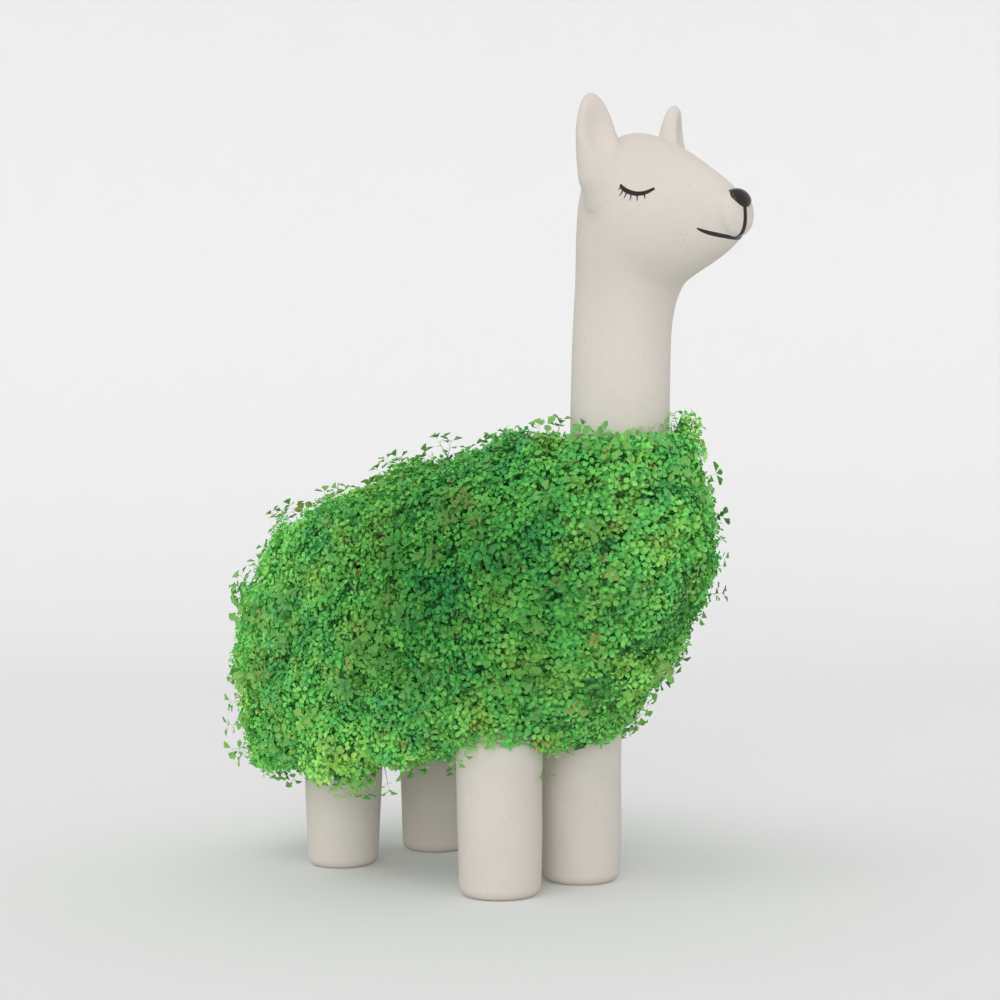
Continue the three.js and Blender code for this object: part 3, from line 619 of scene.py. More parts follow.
def ear_points(side):
    """The ear with its foot spread over the skull, so that the two meet without an edge."""
    head = tree_of(bpy.data.objects["Neck_and_head"])

    def above(q):
        near, normal, _, _ = head.find_nearest(q)
        return (q - near).dot(normal)

    def filled(base, way, wall):
        """Moves base along way to the surface of a fillet between the skull and the ear's wall."""
        def depth(reach):
            q = base + way * reach
            gap, off = above(q), wall(q)
            return min(gap, off) - max(0.0, EAR_FILLET - abs(gap - off)) ** 2 / (4 * EAR_FILLET)

        least, most = 0.0, 0.0
        while most < 1.2 * EAR_FILLET and depth(most) < -1e-7:
            least, most = most, most + EAR_FILLET / 10
        return base + way * last_true(lambda reach: depth(reach) < 0, least, most, 9)

    columns = []
    for a in around(EAR_COLUMNS):
        low = last_true(lambda up: above(ear_form(side, up, a)) <= 0, -EAR_ROOT, 0.6, 18)
        seat, wall_normal = ear_form(side, low, a), ear_normal(side, low, a)
        skull = head.find_nearest(seat)[1]
        outwards = wall_normal - skull * wall_normal.dot(skull)
        slope = max(0.45, outwards.length)
        outwards.normalize()
        column = []
        for j in range(EAR_SKIRT, 0, -1):
            share = j / EAR_SKIRT
            near, normal, _, _ = head.find_nearest(seat + outwards * (EAR_FILLET / slope * share))
            way = (normal + wall_normal * (1 - share)).normalized()
            q = filled(near, way, lambda q: (q - seat).dot(wall_normal) / slope * outwards.length)
            height = (q - near).length * (1 - share ** 4) - 0.00004 * share
            column.append(near + way * height)
        for j in range(EAR_ROWS):
            up = low + (1 - low) * math.sin(math.pi / 2 * j / (EAR_ROWS - 1)) ** 1.2
            base, normal = ear_form(side, up, a), ear_normal(side, up, a)
            gap = above(base)
            if gap < EAR_FILLET:
                way = (normal + skull * (1 - max(0.0, gap) / EAR_FILLET)).normalized()
                base = filled(base, way, lambda q: (q - base).dot(normal))
            column.append(base)
        columns.append(column)
    inside = sum((c[0] for c in columns), Vector()) / EAR_COLUMNS
    levels = [[c[0].lerp(inside, 0.12) for c in columns], *zip(*columns)]
    return loft([[millimetres(q) for q in places] for places in levels])


class LLAMA_OT_ears(bpy.types.Operator):
    """Models both ears and blends their feet into the skull."""
    bl_idname = "llama.ears"
    bl_label = "Ears"

    def execute(self, context):
        for name, side in SIDES:
            ear = mesh_object(f"Ear_{name}", *ear_points(side))
            finish_piece(ear, f"ear_{name}", clay())
        return {"FINISHED"}


# Legs, tail and body

class LLAMA_OT_legs(bpy.types.Operator):
    """Turns the four legs with their rounded feet."""
    bl_idname = "llama.legs"
    bl_label = "Legs"

    def execute(self, context):
        legs = [(pair, *side) for pair in LEG_PAIRS for side in SIDES]
        for number, (pair, name, side) in enumerate(legs):
            middle, y, foot, top, top_lean = LEG_PAIRS[pair]
            profile = [(foot - FOOT_EDGE + FOOT_EDGE * math.sin(a),
                        FOOT_EDGE - FOOT_EDGE * math.cos(a))
                       for a in (math.pi / 2 * i / 8 for i in range(9))]
            profile += [(foot + (top - foot) * share, FOOT_EDGE + (LEG_HEIGHT - FOOT_EDGE) * share)
                        for share in (i / 16 for i in range(1, 17))]
            rings = []
            for radius, z in profile:
                x = middle + top_lean * z / LEG_HEIGHT
                rings.append([Vector((x + radius * math.cos(a), side * y + radius * math.sin(a), z))
                              for a in around(64)])
            leg = mesh_object(f"Leg_{pair}_{name}", *loft(rings))
            for vertex in leg.data.vertices:
                if 1e-5 < vertex.co.z < (LEG_HEIGHT - 0.5) * MM:
                    flat = Vector((vertex.normal.x, vertex.normal.y, 0))
                    wander = noise.noise(vertex.co / 0.014 + Vector((number * 3.1, 0, 0)))
                    vertex.co += flat * (LEG_UNEVENNESS * wander)
            leg.data.update()
            finish_piece(leg, f"leg_{pair}_{name}", clay())
        return {"FINISHED"}


class LLAMA_OT_tail(bpy.types.Operator):
    """Models the teardrop tail against the rump."""
    bl_idname = "llama.tail"
    bl_label = "Tail"

    def execute(self, context):
        rings = []
        for a in (math.pi / 2 * j / 20 for j in range(20)):
            share = math.cos(a)
            rings.append([Vector((
                TAIL_SEAT_X - TAIL_REACH * math.sin(a),
                TAIL_HALF_WIDTH * math.cos(b) * (1 - 0.3 * math.sin(b)) * share,
                TAIL_MIDDLE_Z + TAIL_HEIGHT / 2 * math.sin(b) * share - TAIL_DROOP * math.sin(a)))
                for b in around(48)])
        tip = Vector((TAIL_SEAT_X - TAIL_REACH, 0, TAIL_MIDDLE_Z - TAIL_DROOP))
        tail = mesh_object("Tail", *loft(rings, end=tip))
        finish_piece(tail, "tail", clay())
        return {"FINISHED"}


class LLAMA_OT_body(bpy.types.Operator):
    """Gives the hollow body its bisque."""
    bl_idname = "llama.body"
    bl_label = "Body"

    def execute(self, context):
        coat(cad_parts["body_shell"], clay())
        return {"FINISHED"}


# Face

def on_head(tree, start, towards):
    """Where a line from start, in the animal's millimetres, meets the head, and its normal."""
    place, normal, _, _ = tree.ray_cast(metres(start), Vector(towards).normalized())
    if place is None:
        raise RuntimeError(f"no head found from {tuple(start)}")
    return place, normal


def ribbon(points, normals, widths, height=0.00016):
    """A thin raised line of glaze on a surface, as the rings of a closed lens-shaped strip."""
    rings = []
    for i, (place, normal) in enumerate(zip(points, normals)):
        a, b = points[max(0, i - 1)], points[min(len(points) - 1, i + 1)]
        along = (b - a).normalized()
        across = along.cross(normal).normalized()
        rings.append([millimetres(place + across * (widths[i] / 2 * math.cos(turn))
                                  + normal * (height * (math.sin(turn) - 0.15)))
                      for turn in around(10)])
    return loft(rings)


def join_parts(parts):
    points, faces = [], []
    for some_points, some_faces in parts:
        base = len(points)
        points += some_points
        faces += [tuple(i + base for i in face) for face in some_faces]
    return points, faces


# The lid's curve and the lashes' feet and tips, as X and Z
EYELID = [
    (62.7, 155.6), (64.2, 154.2), (66.0, 153.2), (67.8, 152.75), (69.5, 152.9), (71.2, 153.65),
]
EYELID_STEPS = 25
LASHES = [
    ((63.0, 155.2), (62.1, 154.5)), ((63.6, 154.5), (62.6, 153.3)), ((64.3, 154.0), (63.6, 152.6)),
    ((65.2, 153.5), (64.8, 152.0)), ((66.3, 153.05), (66.2, 151.4)),
    ((67.6, 152.75), (67.8, 151.15)), ((69.0, 152.8), (69.5, 151.5)),
]
LASH_STEPS = 7


def eye_line(tree, side, width, lash_width):
    """One closed eye: the lid's curve, a flick at its rear end and lashes fanning down."""
    def laid(points, steps):
        line = [Vector((x, 0, z)) for x, z in points]
        curve = [curve_point(line, i / steps) for i in range(steps + 1)]
        return zip(*[on_head(tree, (p.x, side * 30, p.z), (0, -side, 0)) for p in curve])

    shares = [min(1, 0.12 + 0.8 * i / EYELID_STEPS) for i in range(EYELID_STEPS + 1)]
    widths = [width * (0.35 + 0.65 * math.sin(math.pi * share) ** 0.6) for share in shares]
    parts = [ribbon(*laid(EYELID, EYELID_STEPS), widths)]
    thinning = [lash_width * (1 - 0.75 * i / LASH_STEPS) for i in range(LASH_STEPS + 1)]
    for foot, tip in LASHES:
        bend = ((foot[0] + tip[0]) / 2 + 0.12, (foot[1] + tip[1]) / 2)
        parts.append(ribbon(*laid([foot, bend, tip], LASH_STEPS), thinning))
    return parts


class LLAMA_OT_face_lines(bpy.types.Operator):
    """Brushes the closed eyes, the lashes, the lip groove and the mouth in black glaze."""
    bl_idname = "llama.face_lines"
    bl_label = "Face lines"

    def execute(self, context):
        settings = context.scene.planter_face
        width = settings.line_width
        tree = tree_of(bpy.data.objects["Neck_and_head"])
        mouth = []
        for u in (2 * i / 60 - 1 for i in range(61)):
            angle = math.radians(43 * u)
            start = (74, 0, 142.7 + 2.1 * abs(u) ** 1.6)
            mouth.append((*on_head(tree, start, (math.cos(angle), math.sin(angle), 0)),
                          width * (1.0 - 0.65 * abs(u) ** 4)))
        lip = [(*on_head(tree, (120, 0, 149.6 - 6.9 * i / 20), (-1, 0, 0)), width * 1.1)
               for i in range(21)]
        lines = {f"Eye_{name}": eye_line(tree, side, width, settings.lash_width)
                 for name, side in SIDES}
        lines["Mouth"] = [ribbon(*zip(*mouth)), ribbon(*zip(*lip))]
        for name, parts in lines.items():
            line = mesh_object(name, *join_parts(parts))
            finish_piece(line, material=glaze())
        return {"FINISHED"}


def nose_point(turn, share):
    """Y and Z at a share of the way from the nose's middle to its outline, a rounded triangle."""
    c, s = math.cos(turn), math.sin(turn)
    width = NOSE_HALF_WIDTH * (1 - 0.28 * max(0.0, -s) ** 1.2)
    return width * math.copysign(abs(c) ** 0.92, c) * share, NOSE_Z + NOSE_HALF_HEIGHT * s * share


class LLAMA_OT_nose(bpy.types.Operator):
    """Models the small black glazed nose."""
    bl_idname = "llama.nose"
    bl_label = "Nose"

    def execute(self, context):
        tree = tree_of(bpy.data.objects["Neck_and_head"])

        def placed(y, z, proud):
            place, normal = on_head(tree, (120, y, z), (-1, 0, 0))
            return millimetres(place + normal * (proud * MM))

        levels = [(-NOSE_SUNK, 1.0), (0.0, 1.0)]
        for share in (math.cos(math.pi / 2 * j / 16) for j in range(1, 16)):
            levels.append((NOSE_PROUD * (1 - share ** 3) ** 0.5, share))
        rings = [[placed(*nose_point(turn, share), proud) for turn in around(56)]
                 for proud, share in levels]
        nose = mesh_object("Nose", *loft(rings, end=placed(0, NOSE_Z, NOSE_PROUD)))
        finish_piece(nose, "nose_pad", glaze())
        return {"FINISHED"}


# Seeds and sprouts

def merged_copy(node):
    """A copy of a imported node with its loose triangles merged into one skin."""
    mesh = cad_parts[node].data.copy()
    form = bmesh.new()
    form.from_mesh(mesh)
    bmesh.ops.remove_doubles(form, verts=form.verts, dist=1e-5)
    for _ in range(2):
        edges = [e for e in form.edges if e.calc_length() > 0.0035]
        bmesh.ops.subdivide_edges(form, edges=edges, cuts=1, use_grid_fill=False)
        bmesh.ops.triangulate(form, faces=form.faces)
    form.to_mesh(mesh)
    form.free()
    return linked(f"{node}_skin", mesh)


def mark_open(obj, others, reach, over=(), keep_out=None, beside=None):
    """Marks the faces with nothing close in front, and the way in which each point may sink.

    Where a face looks upwards, only the things in over count as being in front of it."""
    mesh = obj.data
    flags = []
    for face in mesh.polygons:
        start = face.center + face.normal * 2e-5
        nearby = over if over and face.normal.z > 0.4 else others
        free = all(tree.ray_cast(start, face.normal, reach)[0] is None for tree in nearby)
        flags.append(free and not (keep_out and keep_out(face.center)))
    mesh.attributes.new("canopy", "BOOLEAN", "FACE").data.foreach_set("value", flags)
    along = [Vector() for _ in mesh.vertices]
    for face, free in zip(mesh.polygons, flags):
        if free:
            for i in face.vertices:
                along[i] += face.normal * face.area
    lifts = []
    for vertex, way in zip(mesh.vertices, along):
        lift = -TOP_DROP * max(0.0, way.normalized().z)
        for x, y, z, height, radius in TUFTS:
            away = (vertex.co - metres((x, y, z))).length / (radius * MM)
            lift += height * math.exp(-away * away)
        lifts.append(lift * MM)
    mesh.attributes.new("lift", "FLOAT", "POINT").data.foreach_set("value", lifts)
    sunk = [way.normalized() for way in along]
    # The points just behind an open face sink with it, each ring of them less
    for share in (0.9, 0.7, 0.45):
        pulled = {}
        for edge in mesh.edges:
            a, b = edge.vertices
            for one, other in ((a, b), (b, a)):
                if sunk[one].length == 0 and sunk[other].length > 0:
                    pulled[one] = pulled.get(one, Vector()) + sunk[other]
        for i, way in pulled.items():
            sunk[i] = way.normalized() * share
    # Beside the neck the core goes straight down, so that the sprigs hide its edge
    if beside:
        for i, vertex in enumerate(mesh.vertices):
            share = beside.find_nearest(vertex.co)[3] / NECK_HIDE
            if share < 1:
                sunk[i] = sunk[i] + Vector((0, 0, 1.2 * (1 - share)))
    skin = mesh.attributes.new("sink_along", "FLOAT_VECTOR", "POINT")
    skin.data.foreach_set("vector", [c for v in sunk for c in v])


def leaf(form, layer, base, azimuth, lift, length, width, curl):
    """One small cupped leaf of three triangles, added to a sprig."""
    out = Vector((math.cos(azimuth), math.sin(azimuth), 0))
    side = Vector((-math.sin(azimuth), math.cos(azimuth), 0))
    rim = []
    for u, v in ((0.0, 0.0), (0.5, -0.5), (1.0, -0.2), (1.0, 0.2), (0.5, 0.5)):
        rise = math.sin(lift) * u * length - curl * length * u * u + 0.4 * abs(v) * width
        vertex = form.verts.new(base + out * (math.cos(lift) * u * length) + side * (v * width)
                                + Vector((0, 0, rise)))
        # The rise layer carries painted light, strongest at the leaf's rim
        vertex[layer] = 0.5 + 0.5 * max(u * 0.8, abs(v) * 1.9)
        rim.append(vertex)
    for k in (1, 2, 3):
        form.faces.new((rim[0], rim[k], rim[k + 1]))


# Stem length, then each leaf as (height share, azimuth, lift, length, width, curl, stalk)
SPRIGS = [
    (3.4, [(1.0, 0.2, 0.5, 1.5, 1.2, 0.25, 0.1), (1.0, 3.3, 0.35, 1.4, 1.15, 0.3, 0.1),
           (0.8, 1.8, 0.3, 1.4, 1.0, 0.3, 0.3), (0.75, 4.9, 0.3, 1.3, 1.0, 0.3, 0.4)]),
    (3.8, [(1.0, 0.0, 0.9, 1.3, 0.95, 0.2, 0.1), (1.0, 2.1, 0.45, 1.5, 1.15, 0.3, 0.2),
           (0.97, 4.2, 0.55, 1.4, 1.1, 0.25, 0.1), (0.74, 1.1, 0.2, 1.3, 1.0, 0.3, 0.4)]),
    (3.2, [(1.0, 0.4, 0.3, 1.4, 1.15, 0.35, 0.3), (1.0, 2.0, 0.8, 1.3, 0.65, 0.2, 0.1),
           (0.95, 3.6, 0.3, 1.5, 1.2, 0.3, 0.3), (1.04, 5.1, 1.1, 1.3, 0.6, 0.15, 0.1)]),
    (4.1, [(1.0, 0.9, 0.6, 1.4, 1.1, 0.3, 0.1), (1.0, 4.0, 0.5, 1.35, 1.1, 0.3, 0.1),
           (0.74, 2.4, 0.2, 1.5, 1.15, 0.35, 0.5), (0.78, 5.4, 0.2, 1.35, 1.05, 0.35, 0.5)]),
    (3.0, [(1.0, 1.2, 1.2, 1.5, 0.55, 0.1, 0.0), (1.0, 4.4, 1.0, 1.5, 0.6, 0.15, 0.0),
           (0.8, 5.6, 0.35, 1.4, 1.05, 0.3, 0.4), (0.8, 2.7, 0.3, 1.4, 1.05, 0.3, 0.4)]),
    (3.6, [(1.0, 0.0, 0.25, 1.6, 1.2, 0.4, 0.1), (1.0, 3.14, 0.2, 1.55, 1.2, 0.4, 0.1),
           (1.05, 1.57, 1.2, 1.4, 0.55, 0.1, 0.0), (0.8, 4.8, 0.3, 1.3, 1.0, 0.3, 0.3)]),
]
TALL_SPRIGS = [
    (7.0, [(1.0, 0.3, 0.6, 2.4, 2.0, 0.3, 0.5), (1.0, 3.4, 0.5, 2.3, 1.9, 0.3, 0.6),
           (0.86, 1.9, 0.3, 2.1, 1.8, 0.3, 1.1), (0.78, 4.9, 0.3, 2.1, 1.8, 0.3, 1.3)]),
    (7.8, [(1.0, 0.9, 0.6, 2.3, 1.9, 0.2, 0.4), (1.0, 3.0, 0.5, 2.3, 1.9, 0.3, 0.5),
           (0.97, 5.0, 0.5, 2.1, 1.8, 0.3, 0.6), (0.8, 4.1, 0.3, 2.0, 1.7, 0.3, 1.4),
           (0.72, 1.6, 0.2, 2.0, 1.5, 0.3, 1.2)]),
    (6.2, [(1.0, 2.1, 0.4, 2.5, 2.0, 0.35, 0.3), (1.0, 5.2, 0.4, 2.4, 2.0, 0.35, 0.3),
           (0.88, 0.4, 0.5, 1.8, 1.4, 0.2, 0.9)]),
]


def drawn_object(form, name):
    """An object outside the scene, from a form drawn in millimetres."""
    bmesh.ops.scale(form, vec=(MM, MM, MM), verts=form.verts)
    mesh = bpy.data.meshes.new(name)
    form.to_mesh(mesh)
    form.free()
    return bpy.data.objects.new(name, mesh)


def drawn_sprig(name, number, stem, leaves):
    """A drawn sprig: a thin stem with a few small leaves."""
    form = bmesh.new()
    layer = form.verts.layers.float.new("rise")
    lean = Vector((0.5 * math.cos(number * 2.1), 0.5 * math.sin(number * 2.1), 0))
    top = form.verts.new(lean + Vector((0, 0, stem)))
    top[layer] = 0.4
    # The stem's feet keep a rise of 0, which paints shade at the foot of the sprig
    foot = [form.verts.new(Vector((0.22 * math.cos(a), 0.22 * math.sin(a), 0)))
            for a in (0.0, 2.094, 4.189)]
    for k in range(3):
        form.faces.new((foot[k], foot[(k + 1) % 3], top))
    for share, azimuth, lift, length, width, curl, stalk in leaves:
        fork = lean * share ** 2 + Vector((0, 0, stem * share))
        base = fork + Vector((math.cos(azimuth), math.sin(azimuth), 0.35)) * stalk
        if stalk > 0.2:
            thin = [form.verts.new(p) for p in (fork - Vector((0, 0, 0.16)), fork, base)]
            for vertex in thin:
                vertex[layer] = 0.42
            form.faces.new(thin)
        leaf(form, layer, base, azimuth, lift, length, width, curl)
    return drawn_object(form, f"{name}_{number}")


def drawn_grain(number, length, width):
    """A drawn seed: a small flattened grain."""
    form = bmesh.new()
    bmesh.ops.create_icosphere(form, subdivisions=1, radius=1.0)
    bmesh.ops.scale(form, vec=(length, width, width * 0.8), verts=form.verts)
    for face in form.faces:
        face.smooth = True
    return drawn_object(form, f"grain_{number}")


SCATTER_INPUTS = {
    "Spacing": 0.0012, "Root depth": 0.0038, "Clump height": 0.002, "Clump size": 0.009,
    "Size": 1.0, "Upward pull": 0.35, "Lean": 0.75, "Stray share": 0.05, "Stray lift": 0.0014,
    "Core depth": 0.0038, "Seed": 7,
}

# The first input and the output of a random value of each kind
RANDOM_SOCKETS = {"FLOAT_VECTOR": (0, 0), "FLOAT": (2, 1), "INT": (4, 2)}


def scatter_tree(name, drawn, tall, top_material, core_material):
    """Geometry nodes: a sunken core, and drawn shapes scattered over the faces marked canopy."""
    tree = bpy.data.node_groups.new(name, "GeometryNodeTree")
    face = tree.interface
    face.new_socket("Geometry", in_out="INPUT", socket_type="NodeSocketGeometry")
    for label, default in SCATTER_INPUTS.items():
        kind = "NodeSocketInt" if label == "Seed" else "NodeSocketFloat"
        face.new_socket(label, in_out="INPUT", socket_type=kind).default_value = default
    face.new_socket("Geometry", in_out="OUTPUT", socket_type="NodeSocketGeometry")
    nodes = Nodes(tree)
    given = nodes.add("NodeGroupInput").outputs

    def reckon(operation, *values):
        return nodes.math(operation, *[given[v] if isinstance(v, str) else v for v in values])

    def made(kind, settings=None, **inputs):
        return nodes.add(kind, settings, **inputs).outputs[0]

    def scaled(vector, factor):
        return made("ShaderNodeVectorMath", {"operation": "SCALE"}, Vector=vector, Scale=factor)

    def random(kind, low, high, step):
        first, result = RANDOM_SOCKETS[kind]
        node = nodes.add("FunctionNodeRandomValue", {"data_type": kind},
                         Seed=reckon("ADD", "Seed", step))
        nodes.put(node.inputs[first], low)
        nodes.put(node.inputs[first + 1], high)
        return node.outputs[result]

    def noise_at(size, step):
        return made("ShaderNodeTexNoise", {"noise_dimensions": "4D"}, W=float(step), Detail=2.0,
                    Vector=made("GeometryNodeInputPosition"), Scale=reckon("DIVIDE", 1.0, size))

    def centred(value, gain):
        return reckon("MULTIPLY", reckon("SUBTRACT", value, 0.5), gain)

    def named(label, kind="FLOAT"):
        return made("GeometryNodeInputNamedAttribute", {"data_type": kind}, Name=label)

    def stored(geometry, label, value, domain="POINT", kind="FLOAT"):
        return made("GeometryNodeStoreNamedAttribute", {"data_type": kind, "domain": domain},
                    Geometry=geometry, Name=label, Value=value)

    scatter = nodes.add("GeometryNodeDistributePointsOnFaces", {"distribute_method": "POISSON"},
                        Mesh=given["Geometry"], Selection=named("canopy", "BOOLEAN"),
                        Distance_Min=given["Spacing"], Density_Max=2.5e6, Seed=given["Seed"])
    points = stored(scatter.outputs["Points"], "grown_along", scatter.outputs["Normal"],
                    kind="FLOAT_VECTOR")
    normal = named("grown_along", "FLOAT_VECTOR")
    clump = noise_at(given["Clump size"], 1)
    heave = reckon("MULTIPLY", centred(clump, 2.6), "Clump height")
    own_lift = named("lift")
    tuft = reckon("MAXIMUM", centred(noise_at(0.011, 8), 8.0), 0.15)
    stray = reckon("LESS_THAN", random("FLOAT", 0.0, 1.0, 11),
                   reckon("MULTIPLY", tuft, "Stray share"))
    # Random patches of tone, plus painted light where the clumps stand higher
    points = stored(points, "patch", reckon("ADD", centred(noise_at(0.016, 5), 1.5),
                                            reckon("ADD", centred(clump, 0.9), 0.5)))
    lift = reckon("ADD", reckon("ADD", heave, reckon("MULTIPLY", stray, "Stray lift")), own_lift)
    points = made("GeometryNodeSetPosition", Geometry=points,
                  Offset=scaled(normal, reckon("SUBTRACT", lift, "Root depth")))

    up = made("ShaderNodeCombineXYZ", Z=given["Upward pull"])
    wander = random("FLOAT_VECTOR", (-1, -1, -1), (1, 1, 1), 3)
    heading = nodes.vector("ADD", nodes.vector("ADD", normal, up), scaled(wander, given["Lean"]))
    spin = made("ShaderNodeCombineXYZ", Z=random("FLOAT", 0.0, 6.2832, 17))
    turned = made("FunctionNodeRotateRotation", {"rotation_space": "LOCAL"},
                  Rotation=made("FunctionNodeAlignRotationToVector", {"axis": "Z"}, Vector=heading),
                  Rotate_By=made("FunctionNodeEulerToRotation", Euler=spin))
    size = reckon("MULTIPLY", "Size", reckon("MULTIPLY", random("FLOAT", 0.72, 1.12, 23),
                                             reckon("ADD", 1.0, centred(clump, 0.5))))

    shapes = nodes.add("GeometryNodeJoinGeometry")
    for shape in [*tall[::-1], *drawn[::-1]]:
        info = nodes.add("GeometryNodeObjectInfo", {"transform_space": "ORIGINAL"}, Object=shape,
                         As_Instance=True)
        nodes.put(shapes.inputs[0], info.outputs["Geometry"])
    last = len(drawn) - 1
    which = made("GeometryNodeSwitch", {"input_type": "INT"}, Switch=stray,
                 False_=random("INT", 0, last, 29),
                 True_=random("INT", last + 1, last + len(tall), 37))
    placed = made("GeometryNodeInstanceOnPoints", Points=points, Instance=shapes.outputs[0],
                  Pick_Instance=True, Instance_Index=which, Rotation=turned, Scale=size)
    placed = stored(placed, "tint", random("FLOAT", 0.0, 1.0, 31), "INSTANCE")
    placed = stored(placed, "stray", stray, "INSTANCE")

    sink = reckon("ADD", reckon("SUBTRACT", heave, "Core depth"), own_lift)
    core = made("GeometryNodeSetPosition", Geometry=given["Geometry"],
                Offset=scaled(named("sink_along", "FLOAT_VECTOR"), sink))
    both = nodes.add("GeometryNodeJoinGeometry")
    for geometry, material in ((core, core_material), (placed, top_material)):
        nodes.put(both.inputs[0], made("GeometryNodeSetMaterial", Geometry=geometry,
                                       Material=material))
    nodes.add("NodeGroupOutput",
              Geometry=made("GeometryNodeRealizeInstances", Geometry=both.outputs[0]))
    return tree


def grow(carrier, tree, values, name):
    """Runs a scatter tree on a marked skin and returns the result as a plain object."""
    modifier = carrier.modifiers.new("scatter", "NODES")
    modifier.node_group = tree
    for item in tree.interface.items_tree:
        if item.item_type == "SOCKET" and item.in_out == "INPUT" and item.name in values:
            modifier[item.identifier] = values[item.name]
    graph = bpy.context.evaluated_depsgraph_get()
    mesh = bpy.data.meshes.new_from_object(carrier.evaluated_get(graph), depsgraph=graph)
    mesh.name = name
    made = linked(name, mesh)
    plain = carrier.data
    bpy.data.objects.remove(carrier)
    bpy.data.meshes.remove(plain)
    for attribute in ("grown_along", "sink_along", "lift", "canopy"):
        if attribute in mesh.attributes:
            mesh.attributes.remove(mesh.attributes[attribute])
    mesh.update()
    return made


def clear_away(tree, drawn):
    for shape in drawn:
        bpy.data.meshes.remove(shape.data)
    bpy.data.node_groups.remove(tree)


class LLAMA_OT_seeds(bpy.types.Operator):
    """Lays a ring of soaked seeds in each groove of the body."""
    bl_idname = "llama.seeds"
    bl_label = "Seeds"

    def execute(self, context):
        settings = context.scene.planter_seeds
        skin = shared_material("soaked_seeds", seed_material, settings)
        drawn = [drawn_grain(number, *size)
                 for number, size in enumerate(((0.95, 0.62), (1.05, 0.7), (0.85, 0.6)))]
        tree = scatter_tree("Seed scatter", drawn, drawn[:1], skin, skin)
        body = tree_of(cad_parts["body_shell"])
        values = {"Spacing": settings.spacing, "Root depth": 0.0002, "Clump height": 0.0,
                  "Size": 0.62, "Upward pull": 0.0, "Lean": 0.5, "Stray share": 0.0,
                  "Core depth": 0.0002}
        for number, node in enumerate(SEED_MATS):
            mat = merged_copy(node)
            mark_open(mat, [body], reach=0.0015)
            values["Seed"] = 40 + number
            finish_piece(grow(mat, tree, values, f"Seeds_{number + 1}"), node)
        clear_away(tree, drawn)
        return {"FINISHED"}


def in_mouth(place):
    """Whether a place of the coat lies over the opening in the back."""
    x, half_x, half_y = FILL_MOUTH
    p = millimetres(place)
    return ((p.x - x) / half_x) ** 2 + (p.y / half_y) ** 2 < 1 and p.z > 78


class LLAMA_OT_sprouts(bpy.types.Operator):
    """Grows the leafy rows, sprig by sprig, out of the body's grooves."""
    bl_idname = "llama.sprouts"
    bl_label = "Sprouts"

    def execute(self, context):
        settings = context.scene.planter_sprouts
        leaves = shared_material("sprout_leaves", leaf_material, settings)
        depth = shared_material("sprout_depth", depth_material, settings)
        drawn, tall = ([drawn_sprig(name, number, *shape) for number, shape in enumerate(shapes)]
                       for name, shapes in (("sprig", SPRIGS), ("tall_sprig", TALL_SPRIGS)))
        tree = scatter_tree("Sprout scatter", drawn, tall, leaves, depth)
        trees = {name: tree_of(node) for name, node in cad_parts.items()
                 if name not in SEED_MATS}
        values = {"Spacing": settings.spacing, "Root depth": settings.root_depth,
                  "Clump height": settings.clump, "Size": settings.size,
                  "Upward pull": settings.upward}
        for number, node in enumerate(SPROUT_ROWS):
            row = merged_copy(node)
            others = [t for name, t in trees.items() if name != node]
            rows = [trees[name] for name in SPROUT_ROWS if name != node]
            mark_open(row, others, reach=0.003, over=rows, keep_out=in_mouth,
                      beside=trees["neck_and_head"])
            values["Seed"] = settings.seed + 50 * number
            finish_piece(grow(row, tree, values, f"Sprouts_{number + 1}"), node)
        clear_away(tree, drawn + tall)
        return {"FINISHED"}


# Stage

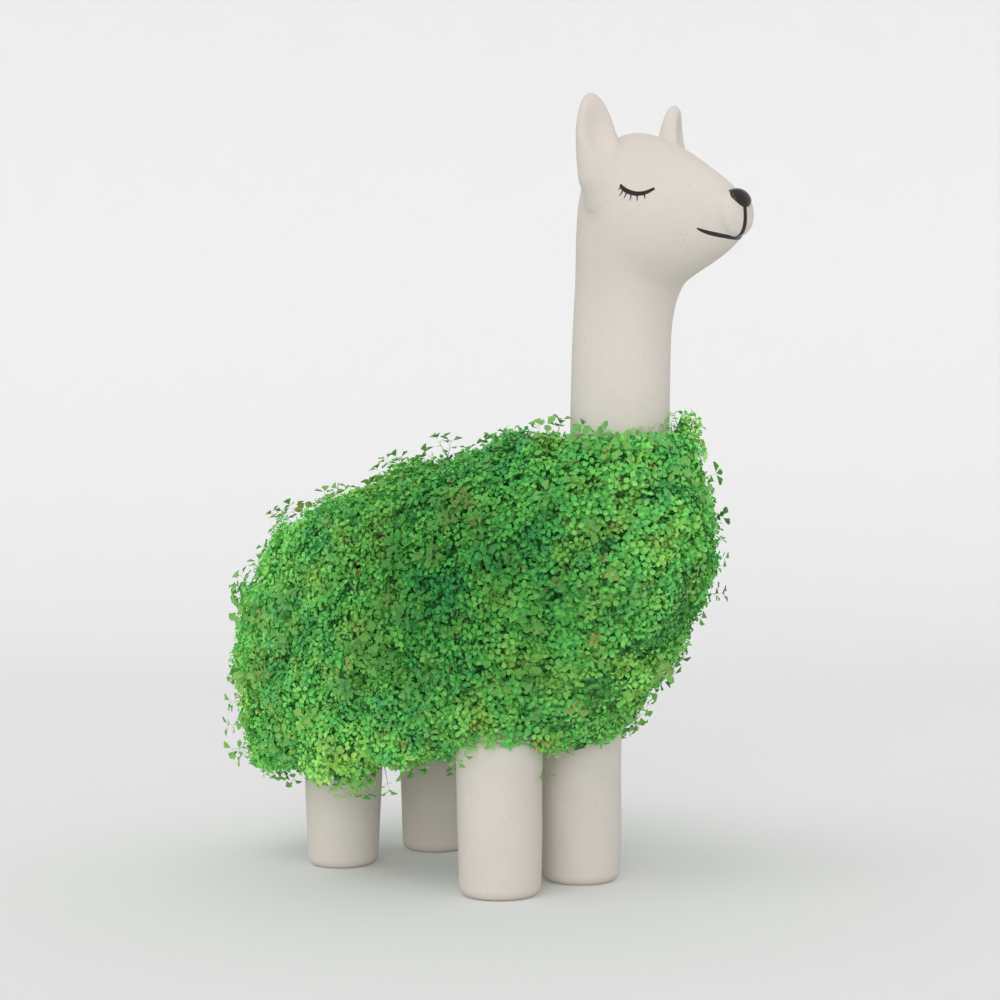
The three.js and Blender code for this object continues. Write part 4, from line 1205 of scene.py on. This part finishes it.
class LLAMA_OT_stage(bpy.types.Operator):
    """Sets the floor and backdrop, the soft lamps and the camera."""
    bl_idname = "llama.stage"
    bl_label = "Stage"

    def execute(self, context):
        settings = context.scene.planter_stage
        context.scene.view_settings.view_transform = "Standard"
        self.backdrop(settings)
        self.lamps(context.scene, settings)
        self.camera(context.scene, settings)
        return {"FINISHED"}

    def backdrop(self, settings):
        """A floor that curves up behind the planter, square to the camera."""
        nodes = Surface("pale_paper")
        floor = settings.floor_colour
        tooth = nodes.spread(nodes.noise(30.0, 3.0), 0.3, 0.7, 0.0, 0.2)
        colour = nodes.mix(tooth, rgba(floor), rgba([c * 0.98 for c in floor]))
        paper = nodes.shader(colour, 0.9, 0.1).outputs[0]
        seen = nodes.add("ShaderNodeLightPath").outputs
        either = nodes.math("MAXIMUM", seen["Is Camera Ray"], seen["Is Glossy Ray"])
        behind = nodes.vector("DOT_PRODUCT", nodes.place, BACKWARDS, output="Value")
        glow = nodes.math("MULTIPLY", either, nodes.spread(behind, -0.1, 0.45, 0.085, 0.055))
        shine = nodes.add("ShaderNodeEmission", Color=(1, 1, 1, 1), Strength=glow).outputs[0]
        profile = [(-7000, 0), (-600, 0), (420, 0)]
        profile += [(420 + 380 * math.sin(a), 380 - 380 * math.cos(a))
                    for a in (math.pi / 2 * i / 16 for i in range(1, 17))]
        profile.append((800, 1700))
        away = Vector(BACKWARDS)
        side = Vector((away.y, -away.x, 0))
        points = [away * along + side * across + Vector((0, 0, z))
                  for along, z in profile for across in (-7000, 7000)]
        faces = [(i, i + 1, i + 3, i + 2) for i in range(0, len(points) - 2, 2)]
        sheet = mesh_object("Backdrop", points, faces)
        if sum(f.normal.z for f in sheet.data.polygons) < 0:
            sheet.data.flip_normals()
        both = nodes.fed(nodes.add("ShaderNodeAddShader"), paper, shine)
        sheet.data.materials.append(nodes.finish(both))

    def lamps(self, scene, settings):
        scene.world = bpy.data.worlds.new("soft_sky")
        scene.world.use_nodes = True
        # The planter is lit from all round, but the sky in the picture is as pale as the floor
        sky = Nodes(scene.world.node_tree)
        ground = sky.tree.nodes["Background"].inputs
        ground["Color"].default_value = (1.0, 1.0, 1.0, 1)
        seen = sky.add("ShaderNodeLightPath").outputs["Is Camera Ray"]
        sky.put(ground["Strength"], sky.spread(seen, 0.0, 1.0, settings.sky, SEEN_SKY))
        for name, towards, strength in (("key_lamp", (0.16, -0.52, 0.84), settings.key),
                                        ("fill_lamp", (0.66, -0.72, 0.21), settings.fill)):
            data = bpy.data.lights.new(name, "SUN")
            data.angle = math.radians(LAMP_BREADTH)
            data.energy = strength
            lamp = linked(name, data)
            lamp.rotation_mode = "QUATERNION"
            lamp.rotation_quaternion = Vector(towards).to_track_quat("Z", "Y")

    def camera(self, scene, settings):
        forward = Vector((-0.83676047, 0.5475682, 0.00099162))
        right = Vector((0.54754678, 0.83674134, -0.00751367))
        up = Vector((0.00494397, 0.00574418, 0.99997128))
        look = (forward + right * 0.15599 - up * 0.018626).normalized()
        across = look.cross(up).normalized()
        top = across.cross(look)
        data = bpy.data.cameras.new("camera")
        data.sensor_width = 36
        data.lens = settings.lens
        data.clip_start, data.clip_end = 0.01, 20
        scene.camera = linked("camera", data)
        turn = Matrix((across, top, -look)).transposed().to_4x4()
        scene.camera.matrix_world = Matrix.Translation(metres(CAMERA_PLACE)) @ turn


class LLAMA_PT_panel(bpy.types.Panel):
    """Makes the planter's pieces one by one."""
    bl_idname = "LLAMA_PT_panel"
    bl_label = "Llama planter"
    bl_space_type = "VIEW_3D"
    bl_region_type = "UI"
    bl_category = "Planter"

    def draw(self, context):
        scene = context.scene
        for title, names, operators in SECTIONS:
            box = self.layout.box()
            box.label(text=title)
            settings = getattr(scene, names)
            for name in settings.bl_rna.properties.keys():
                if name not in ("rna_type", "name"):
                    box.prop(settings, name)
            for operator in operators:
                box.operator(operator.bl_idname)


SECTIONS = [
    ("Stage", "planter_stage", [LLAMA_OT_stage]),
    ("Clay", "planter_clay", [LLAMA_OT_neck_and_head, LLAMA_OT_ears, LLAMA_OT_legs, LLAMA_OT_tail,
                              LLAMA_OT_body]),
    ("Face", "planter_face", [LLAMA_OT_nose, LLAMA_OT_face_lines]),
    ("Seeds", "planter_seeds", [LLAMA_OT_seeds]),
    ("Sprouts", "planter_sprouts", [LLAMA_OT_sprouts]),
]
GROUPS = {
    "planter_stage": StageSettings, "planter_clay": ClaySettings, "planter_face": FaceSettings,
    "planter_seeds": SeedSettings, "planter_sprouts": SproutSettings,
}
OPERATORS = [operator for _, _, operators in SECTIONS for operator in operators]


def register():
    for name, group in GROUPS.items():
        bpy.utils.register_class(group)
        setattr(bpy.types.Scene, name, bpy.props.PointerProperty(type=group))
    for item in [*OPERATORS, LLAMA_PT_panel]:
        bpy.utils.register_class(item)


def unregister():
    for item in [LLAMA_PT_panel, *reversed(OPERATORS)]:
        bpy.utils.unregister_class(item)
    for name, group in GROUPS.items():
        delattr(bpy.types.Scene, name)
        bpy.utils.unregister_class(group)


def main():
    register()
    for operator in OPERATORS:
        group, name = operator.bl_idname.split(".")
        getattr(getattr(bpy.ops, group), name)()


if __name__ == "__main__":
    main()
